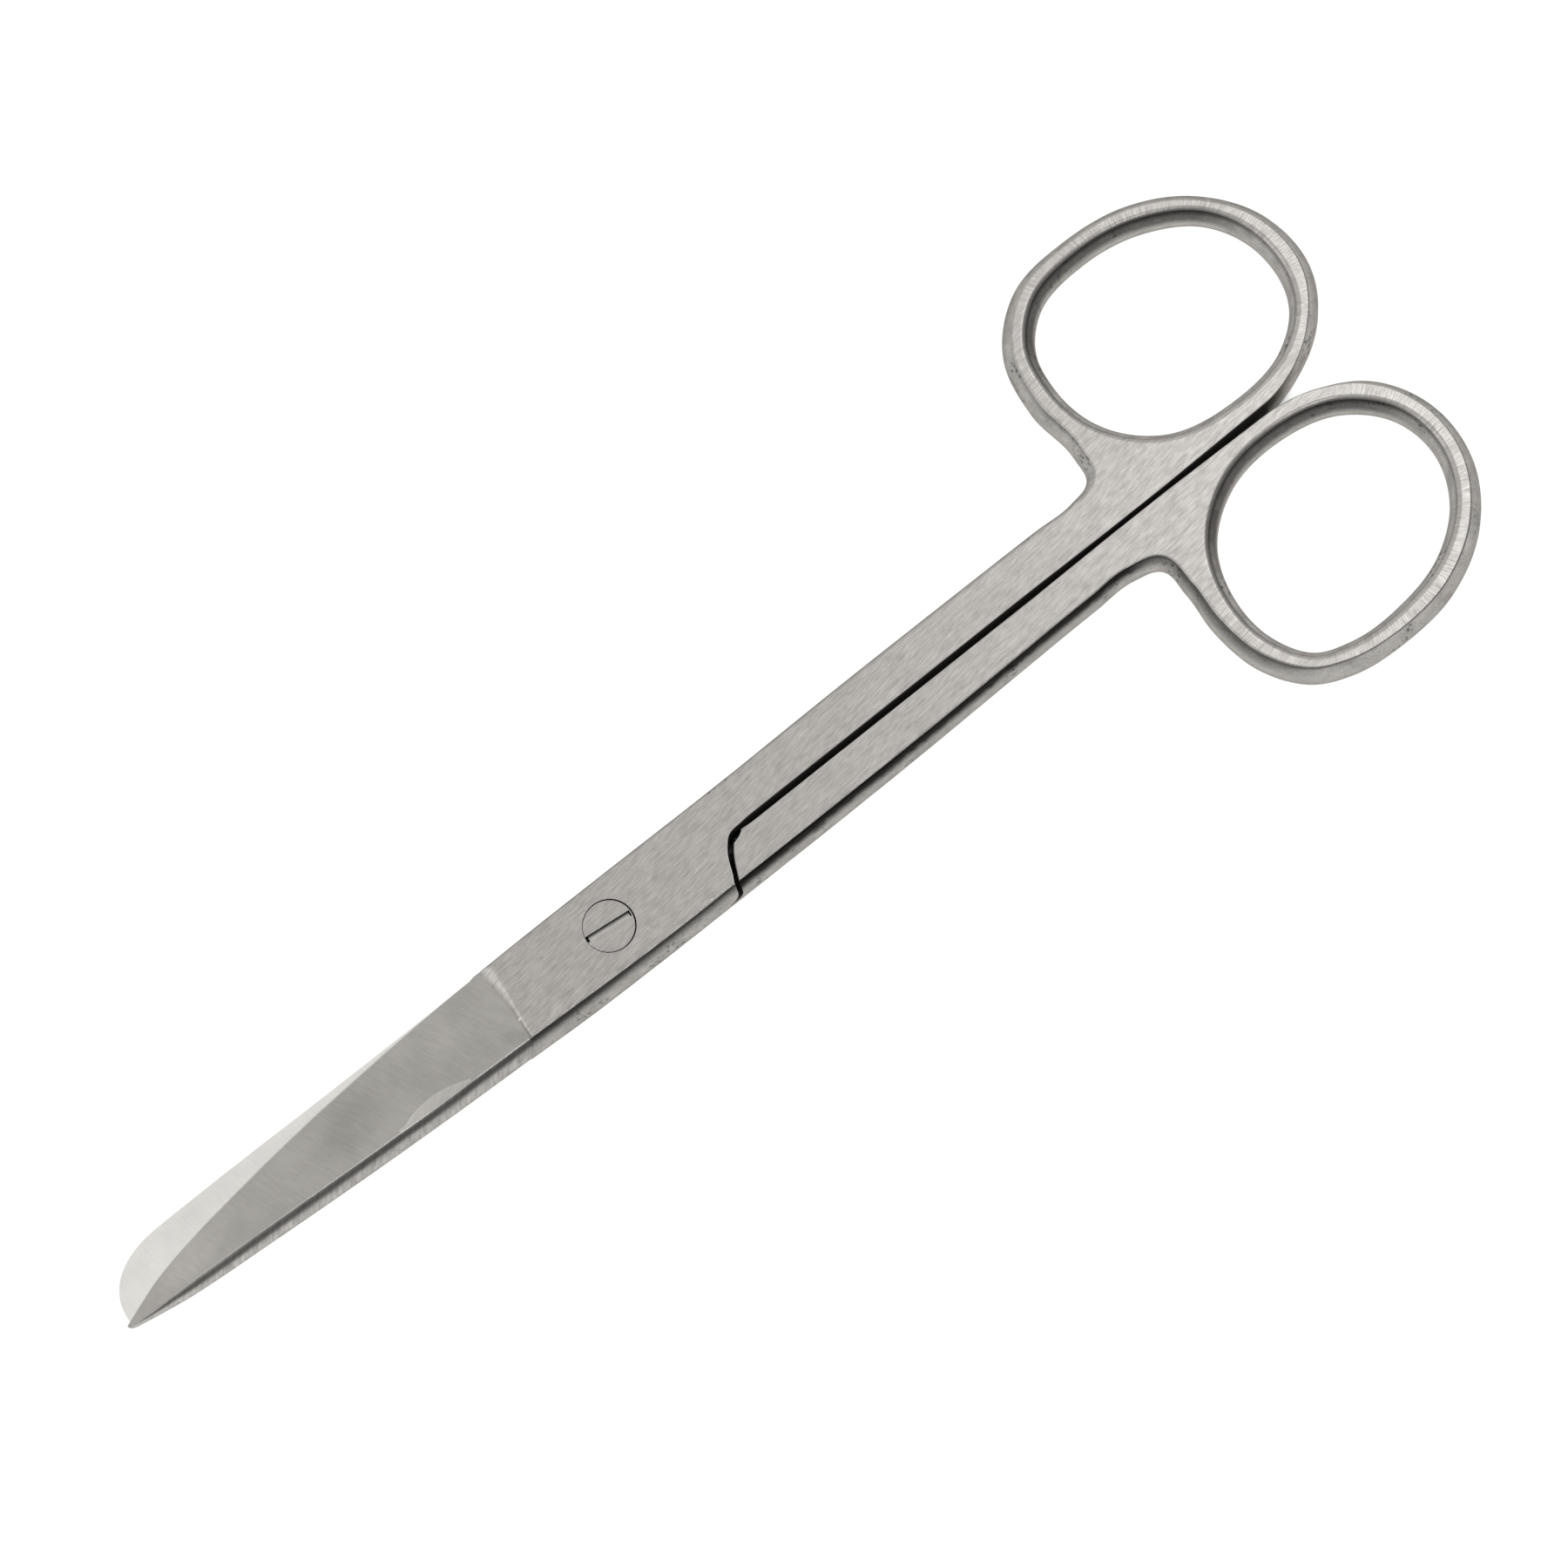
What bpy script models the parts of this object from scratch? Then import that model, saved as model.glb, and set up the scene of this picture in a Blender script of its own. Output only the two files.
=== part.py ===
"""Operating scissors, straight, one blade sharp-pointed and the other blunt.

Two drop-forged halves cross in a lap joint and turn on a slotted screw.
Each half is one piece: blade, half-thickness plate, full-thickness shank
and finger ring. X runs along the scissors towards the rings, Z is up and
out of the slotted side, and the screw's axis is the world Z axis. Sizes in
the constants are millimetres.
"""
import math

import bmesh
import bpy
from mathutils import Matrix, Vector
from mathutils.geometry import interpolate_bezier

MM = 0.001

# Stock and clearances
THICK = 4.8                     # ground thickness of shanks, rings and box
MID = THICK / 2                 # parting plane between the two halves
CENTRE_Y = -0.2                 # line that the closed shanks meet on
LAP_GAP = 0.2                   # between the two plates
PIN_GAP = 0.15                  # round the screw

# Forged side walls
SIDE = 0.6                      # how far a side bows out at mid-thickness
SIDE_ROUND = 0.94               # 0 is a flat side, 1 a full half-circle
RING_SIDE = 0.85
RING_NECK = 1.05
RING_INSIDE = 0.95
RING_CLOSE = 0.3                # where the two rings lie side by side
INNER_SIDE = 0.1                # shank side that faces the other shank

# Lap joint
STEP_FILLET = 1.2               # in the corner of the shoulder
STEP_ROUND = 1.4                # on the plate's end that goes there
LAP_START_X = -14.8             # where the room for the other plate starts
LAP_REACH_Y = 8.0
STEP_END_X = 14.3               # where the wavy end runs out into the shank
INNER_START_X = 15.5            # straight inner side of the shank
INNER_END_X = 60.0
HEEL_SPINE_SIDE = 0.9           # slope from the plate's face to the blade's
HEEL_EDGE_SIDE = 2.6
FLOOR = MID + LAP_GAP / 2       # underside of the upper plate

# Blades, along x from the heel to the tip
BLADE_START_X = -9.5            # hidden end of the blade in the plate
BLADE_STATIONS = 26
BLADE_RELIEF = 0.03             # blade's inner face stands off by this
HOLLOW = 0.12                   # depth of the hollow-ground inner face
EDGE_LAND = 0.7                 # flat strip left along the cutting edge
SPINE_LAND = 0.5
FACE_CROWN = 0.1                # how much the outer face is domed
TIP_POWER = 2.5                 # 2 rounds the tip like an ellipse

# Screw
HEAD_R = 2.33
HEAD_RIM = 0.4
PIN_R = 1.5
HEAD_CHAMFER = 0.06
HEAD_DROP = 0.02                # head lies this much below the plate
END_CHAMFER = 0.15
SLOT_W = 0.57
SLOT_DEPTH = 0.8
SLOT_TURN = math.radians(-6.6)
SLOT_STOP = 0.3                 # metal left between slot and rim
ROUND_STEPS = 48

AUTO = None
STEEL = (0.56, 0.55, 0.53, 1.0)
SCREW_STEEL = (0.52, 0.51, 0.49, 1.0)

# Wavy line across a plate's end, from its spine side to its inner side
STEP_PLACES = [(10.55, -4.86), (10.81, -4.13), (11.3, -3.2), (11.58, -2.5), (12.0, -1.65),
               (12.51, -0.95), (13.2, -0.32)]


# Finger rings: x, y, side bulge, heading. The outside runs from the shank's
# inner side round the ring to the neck, the hole goes round once.
SHARP_RING_OUTSIDE = [
    (73.8, -0.14, RING_CLOSE, 0.0),
    (77.56, 0.61, RING_CLOSE, AUTO),
    (81.69, 2.86, 0.7, AUTO),
    (84.89, 7.52, RING_SIDE, AUTO),
    (84.82, 13.42, RING_SIDE, AUTO),
    (81.13, 19.17, RING_SIDE, AUTO),
    (75.74, 22.37, RING_SIDE, AUTO),
    (69.77, 23.35, RING_SIDE, AUTO),
    (62.93, 22.4, 0.95, AUTO),
    (58.79, 18.59, RING_NECK, AUTO),
    (57.46, 12.8, RING_NECK, AUTO),
    (57.91, 7.6, 0.95, AUTO),
    (57.29, 4.91, 0.85, AUTO),
    (54.99, 4.21, SIDE, AUTO),
    (51.09, 4.27, SIDE, AUTO),
]
SHARP_RING_HOLE = [
    (82.25, 11.67, AUTO),
    (80.06, 16.68, AUTO),
    (75.8, 19.53, AUTO),
    (69.72, 20.76, AUTO),
    (63.77, 19.61, AUTO),
    (61.35, 17.09, AUTO),
    (60.51, 13.4, AUTO),
    (61.27, 8.62, AUTO),
    (65.3, 3.94, AUTO),
    (71.85, 2.39, AUTO),
    (77.97, 3.39, AUTO),
    (80.86, 5.63, AUTO),
]
BLUNT_RING_OUTSIDE = [
    (73.0, 0.14, RING_CLOSE, 0.0),
    (77.72, 0.92, RING_CLOSE, AUTO),
    (82.25, 3.32, 0.7, AUTO),
    (85.11, 8.18, RING_SIDE, AUTO),
    (84.98, 14.35, RING_SIDE, AUTO),
    (81.67, 19.57, RING_SIDE, AUTO),
    (75.99, 22.86, 0.75, AUTO),
    (70.02, 23.59, 0.7, AUTO),
    (64.78, 23.0, 0.9, AUTO),
    (61.51, 21.5, 0.95, AUTO),
    (58.61, 17.67, RING_NECK, AUTO),
    (57.53, 12.2, RING_NECK, AUTO),
    (57.79, 8.0, 0.95, AUTO),
    (57.47, 4.99, 0.85, AUTO),
    (55.14, 4.09, 0.74, AUTO),
    (50.91, 4.05, 0.74, AUTO),
]
BLUNT_RING_HOLE = [
    (82.61, 11.81, AUTO),
    (80.81, 16.36, AUTO),
    (77.02, 19.42, AUTO),
    (71.17, 20.86, AUTO),
    (66.18, 20.6, AUTO),
    (63.24, 19.43, AUTO),
    (61.22, 16.22, AUTO),
    (60.79, 11.39, AUTO),
    (62.57, 6.55, AUTO),
    (66.71, 3.33, AUTO),
    (72.75, 2.42, AUTO),
    (78.87, 4.21, AUTO),
    (81.96, 7.79, AUTO),
]

# Plate and shank: y of the inner side, gaps beyond the plate's wavy end, then
# x, y and side bulge along the spine side and back along the edge side
SHARP_BODY = {
    "inner": -0.14,
    "heel": (-12.3, -1.2, 1.4),
    "gaps": [0.45, 0.42, 0.32, 0.37, 0.5, 0.62, 0.7, 0.72],
    "spine": [(-12.1, -4.48, 1.1), (-6.0, -4.72, 1.1), (2.0, -4.86, 0.92), (8.6, -4.89, 0.88)],
    "edge": [(42.0, 4.34, SIDE), (30.0, 4.38, SIDE), (14.0, 4.27, SIDE), (2.0, 4.37, SIDE),
             (-6.0, 4.4, SIDE), (-12.6, 4.33, SIDE)],
}
BLUNT_BODY = {
    "inner": 0.14,
    "heel": (-12.3, -1.2, 1.4),
    "gaps": [0.36] * 8,
    "spine": [(-12.1, -4.76, 0.9), (-2.0, -4.8, 0.8), (8.6, -4.78, 0.8)],
    "edge": [(42.0, 4.18, 0.72), (32.0, 4.39, 0.78), (24.0, 4.48, 0.86), (10.0, 4.48, 0.88),
             (0.0, 4.43, 0.92), (-7.0, 4.29, 1.0), (-12.6, 4.03, 1.05)],
}

# Blades: x against a value, heel first
SHARP_BLADE = {
    "tip_x": -54.6,
    "tip_round": 0.8,
    "spine": [(-9.5, -4.6), (-17.0, -4.3), (-21.0, -4.12), (-30.0, -3.62),
              (-40.0, -2.92), (-48.5, -2.22), (-54.6, -1.2)],
    "edge": [(-9.5, 4.4), (-16.0, 4.36), (-21.0, 4.17), (-25.0, 3.93), (-30.0, 3.6),
             (-35.0, 3.15), (-40.0, 2.58), (-45.0, 1.9), (-50.0, 0.9), (-54.6, -0.72)],
    "spine_height": [(-9.5, 2.15), (-30.0, 1.9), (-45.0, 1.45), (-54.6, 0.7)],
    "edge_height": [(-9.5, 1.75), (-20.0, 1.3), (-35.0, 1.1), (-45.0, 0.95), (-54.6, 0.4)],
    "spine_lean": [(-9.5, 1.1), (-25.0, 1.07), (-40.0, 1.0), (-48.0, 0.8), (-54.6, 0.05)],
    "edge_lean": [(-9.5, 0.35), (-45.0, 0.3), (-54.6, 0.05)],
}
BLUNT_BLADE = {
    "tip_x": -54.2,
    "tip_round": 7.4,
    "spine": [(-9.5, -4.76), (-14.0, -4.78), (-28.0, -4.86), (-40.0, -5.0), (-54.2, -4.95)],
    "edge": [(-9.5, 4.16), (-14.0, 3.93), (-21.0, 3.5), (-30.0, 2.95),
             (-39.6, 2.25), (-48.8, 1.5), (-54.2, 0.7)],
    "spine_height": [(-9.5, 2.15), (-30.0, 1.9), (-45.0, 1.5), (-54.2, 0.9)],
    "edge_height": [(-9.5, 1.75), (-20.0, 1.3), (-35.0, 1.1), (-45.0, 0.95), (-54.2, 0.4)],
    "spine_lean": [(-9.5, 0.9), (-25.0, 1.0), (-45.0, 0.7), (-54.2, 0.3)],
    "edge_lean": [(-9.5, 0.35), (-45.0, 0.3), (-54.2, 0.15)],
}


def step_line(body):
    """The wavy line across a plate's end: x, y, heading, gap beyond it."""
    places = [(x, y, AUTO) for x, y in STEP_PLACES] + [(STEP_END_X, body["inner"], 0.0)]
    return [(*place, gap) for place, gap in zip(places, body["gaps"])]


def headings(knots):
    """Unit direction at each knot, from its own heading or its neighbours."""
    result = []
    count = len(knots)
    for i, knot in enumerate(knots):
        if knot["heading"] is not AUTO:
            angle = math.radians(knot["heading"])
            result.append(Vector((math.cos(angle), math.sin(angle))))
            continue
        before = knots[i - 1]
        after = knots[(i + 1) % count]
        back = knot["at"] - before["at"]
        ahead = after["at"] - knot["at"]
        blend = back.normalized() * ahead.length + ahead.normalized() * back.length
        result.append(blend.normalized())
    return result


def trace(knots, turn_per_point=7.0):
    """Smooth closed curve through the knots, as points with bulge and step marks."""
    dirs = headings(knots)
    count = len(knots)
    points = []
    for i in range(count):
        a = knots[i]
        b = knots[(i + 1) % count]
        chord = b["at"] - a["at"]
        start = chord.normalized() if a["corner"] else dirs[i]
        end = chord.normalized() if b["corner"] else dirs[(i + 1) % count]
        turn = math.degrees(start.angle(chord) + chord.angle(end))
        pieces = max(1, math.ceil(turn / turn_per_point))
        reach = chord.length / 3
        curve = interpolate_bezier(a["at"], a["at"] + start * reach,
                                   b["at"] - end * reach, b["at"], pieces + 1)
        for k, place in enumerate(curve[:-1]):
            share = k / pieces
            points.append({
                "at": Vector((place[0], place[1])),
                "bulge": a["bulge_out"] * (1 - share) + b["bulge"] * share,
                "bulge_in": a["bulge"] if k == 0 else None,
                "step": a["step"] * (1 - share) + b["step"] * share,
                "corner": a["corner"] and k == 0,
            })
    return points


def knot(x, y, bulge=0.0, heading=AUTO, corner=False, step=0.0, bulge_out=None):
    return {"at": Vector((x, y)), "bulge": bulge, "heading": heading,
            "corner": corner, "step": step,
            "bulge_out": bulge if bulge_out is None else bulge_out}


def inward(points, i, amount, amount_before):
    """Where point i goes when the outline moves in by the given amounts."""
    here = points[i]["at"]
    before = here - points[i - 1]["at"]
    after = points[(i + 1) % len(points)]["at"] - here
    n1 = Vector((-before.y, before.x)).normalized()
    n2 = Vector((-after.y, after.x)).normalized()
    det = n1.x * n2.y - n1.y * n2.x
    if points[i]["corner"] and abs(det) > 0.2:
        sx = (amount_before * n2.y - amount * n1.y) / det
        sy = (amount * n1.x - amount_before * n2.x) / det
        return here + Vector((sx, sy))
    mean = (n1 + n2).normalized()
    return here + mean * (amount / max(0.5, mean.dot(n1)))


def barrel(z):
    """Share of the bulge that is gone at height z."""
    share = abs(z - MID) / MID
    full = 1 - math.sqrt(1 - SIDE_ROUND ** 2)
    return (1 - math.sqrt(1 - (SIDE_ROUND * share) ** 2)) / full


def step_round(z):
    """Set-back of the plate's end at height z, below its rounded corner."""
    drop = FLOOR + STEP_ROUND - z
    if drop <= 0:
        return 0.0
    drop = min(drop, STEP_ROUND)
    return STEP_ROUND - math.sqrt(STEP_ROUND ** 2 - drop ** 2)


def add_loop(bm, points, z, shrink, share, step_share):
    loop = []
    for i, point in enumerate(points):
        before = point["bulge"] if point["bulge_in"] is None else point["bulge_in"]
        amount = point["bulge"] * share + point["step"] * step_share
        amount_before = before * share
        place = inward(points, i, shrink * amount, shrink * amount_before)
        loop.append(bm.verts.new((place.x * MM, place.y * MM, z * MM)))
    return loop


def skin(bm, lower, upper):
    count = len(lower)
    for i in range(count):
        j = (i + 1) % count
        bm.faces.new((lower[i], lower[j], upper[j], upper[i]))


def close_end(bm, loops):
    edges = []
    for loop in loops:
        for i, vert in enumerate(loop):
            edges.append(bm.edges.get((vert, loop[(i + 1) % len(loop)])))
    bmesh.ops.triangle_fill(bm, use_beauty=True, edges=edges)


def finish_mesh(bm, name):
    bmesh.ops.recalc_face_normals(bm, faces=bm.faces[:])
    mesh = bpy.data.meshes.new(name)
    bm.to_mesh(mesh)
    bm.free()
    obj = bpy.data.objects.new(name, mesh)
    return obj


def forged_blank(name, outer, hole):
    """Plate, shank and ring, with bowed sides between two flat faces."""
    levels = [0.0, 0.5, 1.3, MID, FLOOR, FLOOR + 0.12, FLOOR + 0.4,
              FLOOR + 0.8, FLOOR + STEP_ROUND, THICK - 0.4, THICK]
    bm = bmesh.new()
    rings = []
    for z in levels:
        share = barrel(z)
        outside = add_loop(bm, outer, z, 1.0, share, step_round(z))
        inside = add_loop(bm, hole, z, -1.0, share, 0.0)
        rings.append((outside, inside))
    for low, high in zip(rings, rings[1:]):
        skin(bm, low[0], high[0])
        skin(bm, low[1], high[1])
    close_end(bm, rings[0])
    close_end(bm, rings[-1])
    return finish_mesh(bm, name)


def blank_outline(body, ring_outside):
    """Counter-clockwise outline of plate, shank and the ring's outside."""
    inner = body["inner"]
    x, y, bulge = body["spine"][0]
    outline = [knot(x, y, HEEL_SPINE_SIDE, corner=True, bulge_out=bulge)]
    for x, y, bulge in body["spine"][1:]:
        outline.append(knot(x, y, bulge))
    line = step_line(body)
    x, y, _, _ = line[0]
    outline.append(knot(x, y, bulge, corner=True, bulge_out=0.0, step=1.0))
    for x, y, heading, _ in line[1:]:
        outline.append(knot(x, y, 0.0, heading, step=1.0))
    outline[-1]["step"] = 0.0
    outline.append(knot(INNER_START_X, inner, INNER_SIDE, 0.0))
    outline.append(knot(INNER_END_X, inner, INNER_SIDE, 0.0))
    for x, y, bulge, heading in ring_outside:
        outline.append(knot(x, y, bulge, heading))
    for x, y, bulge in body["edge"][:-1]:
        outline.append(knot(x, y, bulge))
    x, y, bulge = body["edge"][-1]
    outline.append(knot(x, y, bulge, corner=True, bulge_out=HEEL_EDGE_SIDE))
    outline.append(knot(*body["heel"]))
    return trace(outline)


def hole_outline(ring_hole):
    knots = [knot(x, y, RING_INSIDE, heading) for x, y, heading in ring_hole]
    return trace(knots, turn_per_point=6.0)


def along(pairs, x):
    """Smooth value at x through (x, value) pairs that run towards -x."""
    if x >= pairs[0][0]:
        return pairs[0][1]
    slopes = []
    for i in range(len(pairs)):
        low = pairs[max(0, i - 1)]
        high = pairs[min(len(pairs) - 1, i + 1)]
        slopes.append((high[1] - low[1]) / (high[0] - low[0]))
    for i in range(len(pairs) - 1):
        x0, y0 = pairs[i]
        x1, y1 = pairs[i + 1]
        if x >= x1 - 1e-9:
            step = x1 - x0
            t = (x - x0) / step
            return ((2 * t**3 - 3 * t**2 + 1) * y0 + (t**3 - 2 * t**2 + t) * step * slopes[i]
                    + (3 * t**2 - 2 * t**3) * y1 + (t**3 - t**2) * step * slopes[i + 1])
    return pairs[-1][1]


def blade_section(blade, x):
    """Points (y, height over the parting face) round the blade at x."""
    edge = along(blade["edge"], x)
    spine = along(blade["spine"], x)
    run_in = (blade["tip_x"] + blade["tip_round"] - x) / blade["tip_round"]
    fullness = 1.0
    if run_in > 0:
        fullness = max(0.0, 1 - min(1.0, run_in) ** TIP_POWER) ** (1 / TIP_POWER)
    spine = edge + (spine - edge) * max(0.08, fullness)
    width = edge - spine
    slim = min(1.0, width / 3.0)
    spine_h = along(blade["spine_height"], x) * (0.55 + 0.45 * slim)
    edge_h = along(blade["edge_height"], x)
    edge_h = min(edge_h, spine_h * 0.8)
    spine_lean = min(along(blade["spine_lean"], x), width * 0.3)
    edge_lean = min(along(blade["edge_lean"], x), width * 0.3)
    section = [(edge, 0.0), (edge, 0.06), (edge - edge_lean, edge_h)]
    face_from = edge - edge_lean
    face_to = spine + spine_lean
    for k in range(1, 5):
        share = k / 5
        crown = FACE_CROWN * slim * 4 * share * (1 - share)
        section.append((face_from + (face_to - face_from) * share,
                        edge_h + (spine_h - edge_h) * share + crown))
    section.append((face_to, spine_h))
    for k in range(1, 4):
        share = k / 4
        lean = spine_lean * barrel(MID * (2 - share))
        section.append((spine + lean, spine_h * (1 - share)))
    section.append((spine, 0.0))
    land_in = min(SPINE_LAND, width * 0.2)
    land_out = min(EDGE_LAND, width * 0.25)
    for k in range(0, 7):
        share = k / 6
        dip = HOLLOW * slim * 4 * share * (1 - share)
        y = spine + land_in + (width - land_in - land_out) * share
        section.append((y, dip))
    return section


def ground_blade(name, blade):
    """Blade lofted through its sections, heel end hidden in the plate."""
    bm = bmesh.new()
    loops = []
    length = blade["tip_x"] - BLADE_START_X
    for k in range(BLADE_STATIONS):
        share = math.sin(math.pi / 2 * k / (BLADE_STATIONS - 1))
        x = BLADE_START_X + length * share
        base = FLOOR + BLADE_RELIEF
        loops.append([bm.verts.new((x * MM, y * MM, (base + h) * MM))
                      for y, h in blade_section(blade, x)])
    for low, high in zip(loops, loops[1:]):
        skin(bm, low, high)
    bm.faces.new(loops[0])
    bm.faces.new(loops[-1])
    return finish_mesh(bm, name)


def lap_cutter(name, other_body):
    """Room for the other half's plate, under this half's own plate."""
    line = step_line(other_body)
    start_y = 2 * CENTRE_Y - other_body["inner"]
    lap_end = line[-1][0] + line[-1][3] + STEP_FILLET
    outline = [
        knot(LAP_START_X, -LAP_REACH_Y, corner=True),
        knot(lap_end, -LAP_REACH_Y, corner=True),
        knot(lap_end, start_y, corner=True),
    ]
    for x, y, heading, gap in reversed(line):
        outline.append(knot(x + gap, 2 * CENTRE_Y - y, STEP_FILLET,
                            180.0 if heading == 0.0 else AUTO))
    outline[3]["corner"] = True
    outline.append(knot(line[0][0] + line[0][3], LAP_REACH_Y, STEP_FILLET, corner=True,
                        bulge_out=0.0))
    outline.append(knot(LAP_START_X, LAP_REACH_Y, corner=True))
    points = trace(outline)
    bm = bmesh.new()
    loops = []
    for z, share in [(-1.0, 0.0), (FLOOR - STEP_FILLET, 0.0)]:
        loops.append(add_loop(bm, points, z, 1.0, share, 0.0))
    for k in range(1, 7):
        angle = math.pi / 2 * k / 6
        z = FLOOR - STEP_FILLET * (1 - math.sin(angle))
        loops.append(add_loop(bm, points, z, 1.0, 1 - math.cos(angle), 0.0))
    for low, high in zip(loops, loops[1:]):
        skin(bm, low, high)
    close_end(bm, [loops[0]])
    close_end(bm, [loops[-1]])
    return finish_mesh(bm, name)


def turned(name, profile):
    """Round solid from (radius, z) pairs, spun with the Screw modifier."""
    mesh = bpy.data.meshes.new(name)
    verts = [(r * MM, 0.0, z * MM) for r, z in profile]
    edges = [(i, i + 1) for i in range(len(verts) - 1)]
    mesh.from_pydata(verts, edges, [])
    obj = bpy.data.objects.new(name, mesh)
    bpy.context.scene.collection.objects.link(obj)
    screw = obj.modifiers.new("spin", "SCREW")
    screw.steps = ROUND_STEPS
    screw.render_steps = ROUND_STEPS
    screw.use_merge_vertices = True
    screw.merge_threshold = 0.000001
    bake(obj)
    bm = bmesh.new()
    bm.from_mesh(obj.data)
    bmesh.ops.remove_doubles(bm, verts=bm.verts[:], dist=0.000001)
    bmesh.ops.recalc_face_normals(bm, faces=bm.faces[:])
    bm.to_mesh(obj.data)
    bm.free()
    bpy.context.scene.collection.objects.unlink(obj)
    return obj


def bake(obj):
    """Replace an object's mesh by what its modifiers make of it."""
    bpy.context.view_layer.update()
    graph = bpy.context.evaluated_depsgraph_get()
    mesh = bpy.data.meshes.new_from_object(obj.evaluated_get(graph))
    obj.modifiers.clear()
    obj.data = mesh


def combine(obj, cutter, operation):
    step = obj.modifiers.new(cutter.name, "BOOLEAN")
    step.solver = "EXACT"
    step.operation = operation
    step.object = cutter
    bake(obj)


def tidy(obj):
    bm = bmesh.new()
    bm.from_mesh(obj.data)
    bmesh.ops.remove_doubles(bm, verts=bm.verts[:], dist=0.000002)
    bmesh.ops.dissolve_degenerate(bm, edges=bm.edges[:], dist=0.000002)
    bmesh.ops.triangulate(bm, faces=[f for f in bm.faces if len(f.verts) > 4])
    bm.to_mesh(obj.data)
    bm.free()


def steel(name, colour, roughness):
    material = bpy.data.materials.new(name)
    material.use_nodes = True
    shader = material.node_tree.nodes["Principled BSDF"]
    shader.inputs["Base Color"].default_value = colour
    shader.inputs["Metallic"].default_value = 1.0
    shader.inputs["Roughness"].default_value = roughness
    return material


def head_seat(name):
    """Countersunk seat and bore through both plates."""
    seat_r = HEAD_R + PIN_GAP
    bore_r = PIN_R + PIN_GAP
    rim_z = THICK - HEAD_RIM
    cone_z = rim_z - (HEAD_R - PIN_R)
    return turned(name, [(0.0, -1.0), (bore_r, -1.0), (bore_r, cone_z),
                         (seat_r, rim_z), (seat_r, THICK + 1.0),
                         (0.0, THICK + 1.0)])


def build_half(name, blade, body, other_body, ring_outside, ring_hole, cutters):
    half = forged_blank(name, blank_outline(body, ring_outside),
                        hole_outline(ring_hole))
    bpy.context.scene.collection.objects.link(half)
    blade_body = ground_blade(name + "_blade", blade)
    lap = lap_cutter(name + "_lap", other_body)
    for cutter in (blade_body, lap):
        cutters.objects.link(cutter)
        cutter.hide_render = True
        cutter.display_type = "WIRE"
    combine(half, lap, "DIFFERENCE")
    combine(half, blade_body, "UNION")
    return half


def flip_over(obj):
    """Turn a half over about the long centre line, into the lower layer."""
    centre = Matrix.Translation(Vector((0, CENTRE_Y * MM, MID * MM)))
    turn = centre @ Matrix.Rotation(math.pi, 4, "X") @ centre.inverted()
    obj.data.transform(turn)


def build_screw(cutters):
    rim_z = THICK - HEAD_RIM
    cone_z = rim_z - (HEAD_R - PIN_R)
    top = THICK - HEAD_DROP
    screw = turned("pivot_screw", [
        (0.0, 0.0), (PIN_R - END_CHAMFER, 0.0), (PIN_R, END_CHAMFER), (PIN_R, cone_z),
        (HEAD_R, rim_z), (HEAD_R, top - HEAD_CHAMFER),
        (HEAD_R - HEAD_CHAMFER, top), (0.0, top)])
    bpy.context.scene.collection.objects.link(screw)
    bm = bmesh.new()
    bmesh.ops.create_cube(bm, size=MM)
    slot_end = HEAD_R - SLOT_STOP
    length = slot_end + 4.0
    for vert in bm.verts:
        vert.co.x = vert.co.x * length + (slot_end - length / 2) * MM
        vert.co.y *= SLOT_W
        vert.co.z = vert.co.z * SLOT_DEPTH * 2 + THICK * MM
    slot = finish_mesh(bm, "screw_slot")
    slot.rotation_euler.z = SLOT_TURN
    cutters.objects.link(slot)
    slot.hide_render = True
    slot.display_type = "WIRE"
    combine(screw, slot, "DIFFERENCE")
    return screw


def main():
    for obj in list(bpy.data.objects):
        bpy.data.objects.remove(obj, do_unlink=True)
    scene = bpy.context.scene
    parts = bpy.data.collections.new("operating_scissors")
    cutters = bpy.data.collections.new("cutters")
    scene.collection.children.link(parts)
    scene.collection.children.link(cutters)

    sharp = build_half("sharp_half", SHARP_BLADE, SHARP_BODY, BLUNT_BODY,
                       SHARP_RING_OUTSIDE, SHARP_RING_HOLE, cutters)
    blunt = build_half("blunt_half", BLUNT_BLADE, BLUNT_BODY, SHARP_BODY,
                       BLUNT_RING_OUTSIDE, BLUNT_RING_HOLE, cutters)
    flip_over(blunt)
    for cutter in cutters.objects:
        if cutter.name.startswith("blunt_half"):
            flip_over(cutter)
    seat = head_seat("screw_seat")
    cutters.objects.link(seat)
    seat.hide_render = True
    seat.display_type = "WIRE"
    combine(sharp, seat, "DIFFERENCE")
    combine(blunt, seat, "DIFFERENCE")
    screw = build_screw(cutters)

    dress = [(sharp, STEEL, 0.3), (blunt, STEEL, 0.32), (screw, SCREW_STEEL, 0.35)]
    for obj, colour, roughness in dress:
        tidy(obj)
        obj.data.materials.clear()
        obj.data.materials.append(steel(obj.name + "_steel", colour, roughness))
        scene.collection.objects.unlink(obj)
        parts.objects.link(obj)


main()
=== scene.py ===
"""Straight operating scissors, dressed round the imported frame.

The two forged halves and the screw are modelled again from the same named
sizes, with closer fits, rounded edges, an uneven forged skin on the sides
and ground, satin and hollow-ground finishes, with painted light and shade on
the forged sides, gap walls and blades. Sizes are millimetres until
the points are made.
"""
import math
from collections import namedtuple

import bmesh
import bpy
from mathutils import Matrix, Vector
from mathutils.geometry import interpolate_bezier


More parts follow.
